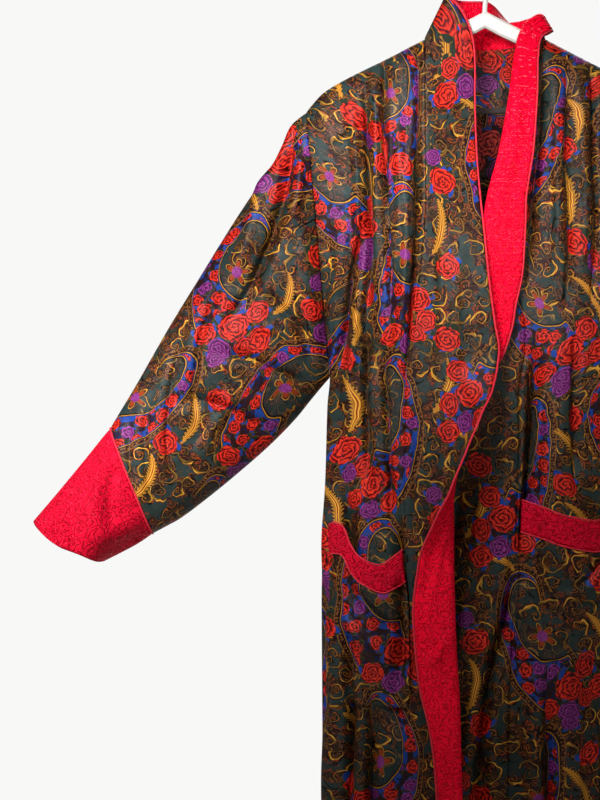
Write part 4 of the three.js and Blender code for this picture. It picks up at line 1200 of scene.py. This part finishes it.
# Flat cut of a tube folded along its top: each face is laid flat, turned to the sleeve's run, and the
# back is opened out over the fold.
def tubeMap(points, sign, offset):
    closed = np.concatenate([points, points[:, :1]], axis=1)
    half = points.shape[1] // 2
    flat = np.stack([sign * closed[..., 0], -closed[..., 2]], -1)
    slope = radians(sleevePiece["slope"])
    down, over = (sin(slope), cos(slope)), (cos(slope), -sin(slope))
    top, low = flat[:, half], flat[:, 0]
    chord = (top - low) / np.linalg.norm(top - low, axis=1, keepdims=True)
    laid = np.zeros_like(flat)
    for face in (slice(0, half + 1), slice(half, None)):
        run = lengthsAlong(closed[:, face], 1)
        run = run if face.start == 0 else run[:, -1:] - run
        run = run - run.max(axis=1, keepdims=True) / 2
        laid[:, face] = ((top + low) / 2)[:, None] + chord[:, None] * run[..., None]
    across, along = laid @ np.array(over), laid @ np.array(down)
    fold = across[:, half : half + 1]
    across[:, half:] = 2 * fold - across[:, half:]
    return np.stack([sign * across + offset[0], -along + offset[1]], -1)


def outward(points):
    normal = gridNormals(points, ring=True)
    away = points - points.mean(axis=1, keepdims=True)
    return normal if (normal * away).sum() > 0 else -normal


def tubeRelief(design, points, sign):
    reach, drop, y = sign * points[..., 0], -points[..., 2], points[..., 1]
    depth = np.abs(y).max(axis=1, keepdims=True)
    front, back = (creaseRelief(design[face], reach, drop) for face in ("front", "back"))
    return np.where(y < 0, front, back) * smoothstep(np.abs(y) / depth, 0.0, 0.4)


def makeTube(side, design, rings):
    sign = sides[side]
    points, run = tubeThrough(rings, design["rows"])
    normal = outward(points)
    count = points.shape[1]
    around = lengthsAlong(points, 1)
    along = np.repeat(run[:, None], count, axis=1)
    ends = (along, run[-1] - along)
    held = np.prod([smoothstep(away, 0, reach) for away, reach in zip(ends, design["heldFor"])], axis=0)
    closing = np.sin(pi * np.arange(count) / count)[None, :]  # joins up round the ring
    lift = tubeRelief(design, points, sign) * held
    slack = slackness(around, along, design["seed"] + sign, design["slack"])
    lift += slack * held * smoothstep(closing, 0, 0.2)
    lift += sum(rolledEdges(away, depth) for away, depth in zip(ends, design["rolledBy"]))
    turn = np.linspace(0, 2 * pi, count, endpoint=False)[None, :]
    fall, uneven = design["sag"]
    sag = np.maximum(0, np.sin(turn)) * (fall + uneven * np.sin(4 * turn))
    sag = sag * smoothstep(along, run[-1] * 0.4, run[-1])
    points = points + normal * lift[..., None] + np.array([0, 0, -1]) * sag[..., None]
    fabricMap = tubeMap(points, sign, design["print"][side])
    name, node = design["name"] + side, design["node"] + side
    makeCloth(name, points, fabricMap, normal, design["finish"], node, ring=True)


def makeSleeve(side):
    around = sleevePiece["around"]
    rings = [armholeRing(side, around)] + [ovalRing(side, row, around) for row in sleeveRows]
    makeTube(side, sleevePiece, rings)
    start = tuple(mix(np.array(sleeveRows[-1], float), np.array(cuffRows[0], float), 0.02))
    rings = [ovalRing(side, row, around) for row in (start, *cuffRows)]
    makeTube(side, cuffPiece, rings)


piping = {"radius": 1.3, "around": 10, "stitch": 3.0, "pull": 0.035, "cuffRadius": 0.85, "cuffLift": 0.6}


# Round bead along a line of points, with its cloth's place along it.
def makeBead(name, line, radius, node, closed=False):
    count, around = len(line), piping["around"]
    ahead = np.roll(line, -1, axis=0) - np.roll(line, 1, axis=0) if closed else np.gradient(line, axis=0)
    tangent = unit(ahead)
    normal = np.zeros_like(line)
    current = np.array([0.0, 0.0, 1.0]) if abs(tangent[0][1]) > 0.5 else np.array([0.0, -1.0, 0.0])
    for k in range(count):
        current = unit(current - tangent[k] * current.dot(tangent[k]))
        normal[k] = current
    binormal = np.cross(tangent, normal)
    angle = 2 * pi * np.arange(around) / around
    run = runAlong(line)
    # drawn in at each stitch
    pulled = radius * (1 + piping["pull"] * np.sin(run * 2 * pi / piping["stitch"]))
    rim = normal[:, None] * np.cos(angle)[None, :, None] + binormal[:, None] * np.sin(angle)[None, :, None]
    points = line[:, None] + rim * pulled[:, None, None]
    faces, places = [], []
    for i in range(count if closed else count - 1):
        row, nextRow = i * around, (i + 1) % count * around
        end = run[i + 1] if i + 1 < count else run[i] + 2
        for k in range(around):
            beside = (k + 1) % around
            faces.append((row + k, row + beside, nextRow + beside, nextRow + k))
            places += [(k, run[i]), (k + 1, run[i]), (k + 1, end), (k, end)]
    if not closed:
        faces.append(tuple(range(around))[::-1])
        faces.append(tuple((count - 1) * around + k for k in range(around)))
        places += [(0, 0)] * (2 * around)
    mesh = bpy.data.meshes.new(name)
    mesh.from_pydata((points.reshape(-1, 3) * metre).tolist(), [], faces)
    mesh.materials.append(finishes["piping"])
    placePiece(name, mesh, np.array(places, float) * (2 * pi * radius / around, 1) * metre, node)


def makeCuffPiping(side):
    before, seam = (ovalRing(side, row, 240) for row in sleeveRows[-2:])
    normal = unit(np.cross(np.roll(seam, -1, axis=0) - np.roll(seam, 1, axis=0), before - seam))
    if (normal * (seam - seam.mean(axis=0))).sum() < 0:
        normal = -normal
    line = seam + normal * piping["cuffLift"]
    radius = piping["radius"] * piping["cuffRadius"]
    makeBead("cuffPipingLine_" + side, line, radius, "cuff_piping_" + side, closed=True)


for side in sides:
    makeSleeve(side)
    makeCuffPiping(side)
print("sleeves made")

# ---- front bands ----
bandPieces = {
    "neckShare": 30,
    "neckBand": {"bend": 26, "radius": 12, "turn": 0, "lean": 8, "middleGap": 0.02},
    "columns": 30,
    "smoothedOver": 12,
    "slack": 0.5,
    "creasedFrom": {"seam": (0, 8), "edge": (-4, 6), "neck": (90, 150)},  # creases grow over these
    "pipingOff": (1.55, -0.75),  # past the band's edge, and half way in to the facing
    "layers": {
        "frontBand_": {
            "node": "band_",
            "finish": "print",
            "off": 0.0,
            "from": 0.1,
            "roll": 0.9,
            "facing": 1,
            "restsOn": "frontPanel_",
        },
        "frontBandFacing_": {
            "node": "band_facing_",
            # the brighter copy of the red jacquard, painted light
            "finish": "facing",
            "off": -1.5,
            "from": 0.3,
            "roll": 0,
            "facing": -1,
            "restsOn": "frontBand_",
        },
    },
    "creases": {  # distance from the seam, drop
        "right": [
            (-3, 10, 0.4, [(20, 330), (26, 400), (34, 470), (40, 540)]),
            (3, 12, 0.2, [(40, 380), (52, 460), (56, 540)]),
            (-3, 9, 0.5, [(12, 560), (16, 620), (14, 690)]),
            (-3.5, 13, 0.4, [(74, 620), (82, 690), (86, 770), (82, 850)]),
            (3, 12, 0.2, [(92, 660), (90, 740), (94, 820)]),
            (-8, 12, 0.5, [(66, 822), (80, 848), (100, 856)]),
            (-3.5, 12, 0.4, [(70, 900), (80, 1000), (76, 1120), (82, 1288)]),
            (-3, 11, 0.4, [(24, 900), (30, 1010), (26, 1130), (30, 1288)]),
        ],
        "left": [
            (-2, 9, 0.4, [(36, 130), (44, 200), (50, 290), (60, 380)]),
            (2, 10, 0.2, [(52, 160), (60, 240), (66, 330)]),
            (-25, 18, 0.6, [(0, 690), (4, 770), (17, 827), (27, 872), (33, 930), (40, 1010), (42, 1120)], 1),
            (6, 18, 0.2, [(38, 600), (44, 700), (58, 800), (70, 900)]),
            (-9, 15, 0.5, [(70, 640), (78, 740), (88, 840)]),
            (5, 16, 0.2, [(14, 820), (18, 930), (16, 1060), (20, 1288)]),
            (-6, 16, 0.4, [(70, 960), (76, 1080), (72, 1200), (76, 1288)]),
        ],
    },
}


def bandStations(side):
    sign, rows, plain = sides[side], bandRows[side], bandPieces["neckBand"]

    def leaning(rise, lean):
        return np.stack([-sign * np.cos(rise) * np.cos(lean), np.cos(rise) * np.sin(lean), np.sin(rise)], -1)

    # round the back of the neck
    share = np.linspace(0, 1, bandPieces["neckShare"] + 1)[:-1]
    reach = np.maximum(neck["reach"] * share, plain["middleGap"])
    x, drop = sign * reach, topDrop(reach)
    toSide = smoothstep(share, 0, 1)
    first = {name: rows[0][column] for name, column in bandColumn.items()}
    rise = np.radians(mix(90 - plain["lean"], first["rise"], toSide))
    upper = {name: mix(plain[name], first[name], toSide) for name in ("bend", "radius", "turn")}
    upper["seam"] = np.stack([x, backY(x, drop), -drop], -1)
    upper["across"] = leaning(rise, np.radians(mix(90, 0, share)))
    upper["width"] = np.full(len(share), float(first["width"]))
    # down the front
    drops = rowDrops([neck["drop"]])[:, 0]
    lower = {name: read(rows, column, drops) for name, column in bandColumn.items()}
    lower["seam"] = np.stack([lower["x"], frontY(side, lower["x"], drops), -drops], -1)
    lower["across"] = leaning(np.radians(lower["rise"]), np.radians(lower["lean"]))
    stations = {name: np.concatenate([upper[name], lower[name]]) for name in upper}
    stations["turn"] = np.radians(stations["turn"])
    stations["drop"] = np.concatenate([drop, drops])
    run = stations["run"] = runAlong(stations["seam"])
    near = [
        np.stack([np.interp(run + step, run, stations["seam"][:, k]) for k in range(3)], -1)
        for step in (bandPieces["smoothedOver"], -bandPieces["smoothedOver"])
    ]
    stations["out"] = unit(np.cross(stations["across"], near[0] - near[1]) * sign)
    return stations


# Points and normals of the band at a distance from its seam: flat to the bend, then round, then flat.
def bandSurface(stations, distance, off):
    seam, across, out = (stations[name][:, None] for name in ("seam", "across", "out"))
    bend, radius, turn, width = (stations[name][:, None] for name in ("bend", "radius", "turn", "width"))
    full = np.minimum(turn, (width - bend) / radius)
    angle = np.clip((distance - bend) / radius, 0, np.maximum(full, 0))
    rest = np.maximum(0, distance - bend - radius * full)
    onAcross = np.minimum(distance, bend) + radius * np.sin(angle) + rest * np.cos(angle)
    onOut = radius * (1 - np.cos(angle)) + rest * np.sin(angle)
    normal = out * np.cos(angle)[..., None] - across * np.sin(angle)[..., None]
    points = seam + across * onAcross[..., None] + out * onOut[..., None]
    return points + normal * off, normal


def bandRelief(side, stations, distance):
    drop, run = (np.repeat(stations[name][:, None], distance.shape[1], axis=1) for name in ("drop", "run"))
    lift = creaseRelief(bandPieces["creases"][side], distance, drop)
    lift += slackness(distance, run, 9 + sides[side], bandPieces["slack"])
    grows, toEdge = bandPieces["creasedFrom"], stations["width"][:, None] - distance
    lift *= smoothstep(distance, *grows["seam"]) * smoothstep(toEdge, *grows["edge"])
    return lift * smoothstep(stations["run"][:, None], *grows["neck"])


def makeBand(side):
    stations = bandStations(side)
    width, drop, run = (stations[name][:, None] for name in ("width", "drop", "run"))
    neckRows = bandPieces["neckShare"]
    start = frontPieces[side]["print"]
    share = np.linspace(0, 1, bandPieces["columns"])[None, :]
    for name, layer in bandPieces["layers"].items():
        distance = mix(layer["from"], width, share)
        points, normal = bandSurface(stations, distance, 0.0)
        lift = layer["off"] + bandRelief(side, stations, distance)
        lift = lift + rolledEdges(distance - layer["from"], layer["roll"])
        points = points + normal * lift[..., None]
        laid = sides[side] * (np.abs(seamReach(side, drop)) - distance)
        fabricMap = printMap(laid, np.repeat(drop, len(share[0]), axis=1), start)
        fabricMap[:neckRows, :, 1] = fabricMap[neckRows, :, 1] + (run[neckRows] - run[:neckRows])
        node, restsOn = layer["node"] + side, [layer["restsOn"] + side]
        outside = layer["facing"] * normal
        makeCloth(name + side, points, fabricMap, outside, layer["finish"], node)
    past, above = bandPieces["pipingOff"]
    edge, normal = bandSurface(stations, width + past, above)
    line = (edge + normal * bandRelief(side, stations, width + past)[..., None])[:, 0]
    makeBead("frontPipingLine_" + side, line, piping["radius"], "front_piping_" + side)


for side in sides:
    makeBand(side)
print("front bands made")

# ---- pockets ----
# reach, drop
mouthRows = {
    "right": [
        (97, 719), (109, 730), (125, 741), (145, 732), (156, 717),
        (163, 702), (170, 694), (179, 692), (191, 698),
    ],
    "left": [(37, 664), (60, 671), (100, 685), (125, 689), (150, 676), (174, 656), (192, 656)],
}
pocketPieces = {
    "from": 0.06,
    "to": 0.97,
    "depth": 190,
    "bandHeight": 37,
    "sagged": {"right": 0.2, "left": 0.04},
    "pipingShare": 0.75,
    "gap": 0.35,
    "off": 2.4,
    "slack": {"right": 18, "left": 12},
    "level": 740,
    "columns": 46,
    "bandRows": 13,
    "bagRows": 44,
    "pipingPoints": 160,
    "roll": {"mouth": 0.4, "sides": 0.6},
    "creasedFromMouth": (20, 50),
    "creasedFromSides": (0, 0.3),
    "creases": {
        "right": [
            (-15, 17, 0.6, [(-162, 758), (-146, 782), (-122, 808), (-98, 836)]),
            (10, 14, 0.3, [(-176, 794), (-146, 826), (-118, 854)]),
            (-20, 13, 0.6, [(-106, 722), (-103, 780), (-105, 850), (-110, 905)]),
            (-22, 19, 0.6, [(-171, 790), (-167, 830), (-166, 850), (-168, 960), (-170, 1100)], -1),
            (-8, 18, 0.5, [(-138, 850), (-141, 930), (-144, 1010), (-142, 1120)], -1),
        ],
        "left": [
            (-9, 14, 0.5, [(146, 724), (112, 760), (82, 774)]),
            (-8, 13, 0.5, [(64, 700), (66, 760), (60, 840)], -1),
            (3, 12, 0.2, [(100, 740), (98, 800), (104, 850)]),
            (-16, 18, 0.5, [(168, 760), (168, 820), (164, 940), (168, 1100)], 1),
        ],
    },
}


def pocketGround(side, share, drop):
    x = mix(sides[side] * edgeReach(drop), seamReach(side, drop), share)
    return frontSurface(side, x, drop)


def pocketFoot(side):
    return mouthRows[side][0][1] + pocketPieces["depth"]


# Points of the pocket, which stands off the front panel and gapes at its mouth.
def pocketSurface(side, share, drop, extra=0.0):
    design, at = pocketPieces, partial(pocketGround, side)
    over = at(share + 0.01, drop) - at(share - 0.01, drop)
    down = at(share, drop + 1) - at(share, drop - 1)
    out = unit(np.cross(over, down))
    out = np.where(out[..., 1:2] > 0, -out, out)
    points = at(share, drop)
    mouth = read(mouthRows[side], 1, np.abs(points[..., 0]))
    hang = np.clip((drop - mouth) / (pocketFoot(side) - mouth), 0, 1)
    middle = np.sin(pi * (share - design["from"]) / (design["to"] - design["from"]))
    gape = design["slack"][side] * np.maximum(0, middle) * (1 - hang**3)
    crease = creaseRelief(design["creases"][side], points[..., 0], drop)
    crease = crease * smoothstep(middle, *design["creasedFromSides"])
    lift = design["off"] + gape + extra + crease * smoothstep(drop - mouth, *design["creasedFromMouth"])
    return points + out * lift[..., None]


def makePocket(side):
    design = pocketPieces
    share = np.linspace(design["from"], design["to"], design["columns"])
    edge, seam = edgeReach(design["level"]), np.abs(seamReach(side, design["level"]))
    mouth = read(mouthRows[side], 1, mix(edge, seam, share))
    tall = design["bandHeight"] * (1 - design["sagged"][side] * np.sin(pi * (share - design["from"])) ** 2)
    bandRun, bagRun = (np.linspace(0, 1, design[rows])[:, None] for rows in ("bandRows", "bagRows"))
    parts = [
        ("pocketBandStrip_", "pocket_band_", "red", mix(0, tall, bandRun)),
        ("pocketBag_", "pocket_", "print", mix(tall + design["gap"], pocketFoot(side) - mouth, bagRun)),
    ]
    for name, node, finish, below in parts:
        drop = mouth + below
        points = pocketSurface(side, np.broadcast_to(share, drop.shape), drop)
        along, across = lengthsAlong(points, 0), lengthsAlong(points, 1)
        normal = normalsTowards(points, -1)
        mouthRoll, sideRoll = design["roll"]["mouth"], design["roll"]["sides"]
        lift = rolledEdges(along, mouthRoll) + rolledEdges(along[-1:] - along)
        lift = lift + rolledEdges(across, sideRoll) + rolledEdges(across[:, -1:] - across, sideRoll)
        points = points + normal * lift[..., None]
        fabricMap = printMap(points[..., 0], drop, frontPieces[side]["print"])
        makeCloth(name + side, points, fabricMap, normal, finish, node + side)
    radius = piping["radius"] * design["pipingShare"]
    edges = {"Top_": (-(radius + 0.5), 0.0), "Low_": (tall, garment["thickness"] / 2 + radius * 0.6)}
    fine, run = np.linspace(0, 1, design["pipingPoints"]), np.linspace(0, 1, len(share))
    for name, (below, extra) in edges.items():
        line = pocketSurface(side, share[None, :], (mouth + below)[None, :], extra)[0]
        line = np.stack([np.interp(fine, run, line[:, k]) for k in range(3)], -1)
        makeBead("pocketPiping" + name + side, line, radius, "pocket_piping_" + name.lower() + side)


for side in sides:
    makePocket(side)
print("pockets made")

# ---- hanger ----
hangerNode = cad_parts["hanger"]
hangerNode.data.materials.clear()
hangerNode.data.materials.append(finishes["hanger"])
print("hanger finished")

# ---- studio ----
studio = {
    # the paper glows: how much of that falls on the robe, and how bright the paper itself looks
    "floor": {
        "drop": 1600,
        "size": 5000,
        "shades": ("#e9e6e1", "#efedea"),
        "glow": {"light": 0.3, "seen": 0.62},
    },
    "air": {"seen": "#f8f8f7", "light": 0.07},
    "lamps": [  # place, aim, width, watts, spread in degrees
        ((-370, -740, 70), (-150, 0, -290), 340, 2.35, 68),
        ((-820, -640, -230), (-500, 0, -640), 260, 1.15, 46),
        ((60, -1300, -160), (10, 0, -300), 200, 0.2, 27),
        ((600, -1200, 420), (0, 0, -500), 600, 1.6, 180),
        ((300, 1500, 500), (0, 0, -600), 1200, 40, 180),
    ],
}


def makeStudio(setup):
    size, drop = setup["floor"]["size"] * metre / 2, -setup["floor"]["drop"] * metre
    mesh = bpy.data.meshes.new("floor")
    corners = [(-size, -size, drop), (size, -size, drop), (size, size, drop), (-size, size, drop)]
    mesh.from_pydata(corners, [], [(0, 1, 2, 3)])
    floor = bpy.data.objects.new("floor", mesh)
    bpy.context.scene.collection.objects.link(floor)
    material = bpy.data.materials.new("studioPaper")
    tree = emptyTree(material)
    put = partial(addNode, tree)
    shades = [linear(value) for value in setup["floor"]["shades"]]
    colour = put("Mix", put("TexNoise", put("TexCoord", out=3), 3.0), *shades, **rgba)
    lit = {}
    for name, strength in setup["floor"]["glow"].items():
        glow = {"Emission Color": shades[0], "Emission Strength": strength}
        lit[name] = put("BsdfPrincipled", colour, 0.0, 0.85, **glow)
    finishMaterial(tree, put("MixShader", put("LightPath"), lit["light"], lit["seen"]))
    mesh.materials.append(material)
    world = bpy.data.worlds.new("studioAir")
    bpy.context.scene.world = world
    tree = emptyTree(world)
    put = partial(addNode, tree)
    seen = put("Background", linear(setup["air"]["seen"]), 1.0)
    light = put("Background", linear("#ffffff"), setup["air"]["light"])
    air = put("MixShader", put("LightPath"), light, seen)
    tree.links.new(air, tree.nodes.new("ShaderNodeOutputWorld").inputs[0])
    for k, (place, aim, width, watts, spread) in enumerate(setup["lamps"]):
        light = bpy.data.lights.new("softLamp" + str(k), "AREA")
        light.size = width * metre
        light.energy = watts
        light.spread = radians(spread)
        lamp = bpy.data.objects.new(light.name, light)
        start, end = np.array(place) * metre, np.array(aim) * metre
        lamp.location = start
        x, y, z = start - end
        lamp.rotation_euler = (atan2(np.hypot(x, y), z), 0, atan2(x, -y))
        bpy.context.scene.collection.objects.link(lamp)
    bpy.context.scene.view_settings.view_transform = "Standard"


makeStudio(studio)
print("studio lit")
for row in cutSizes:
    print("cut", *row)
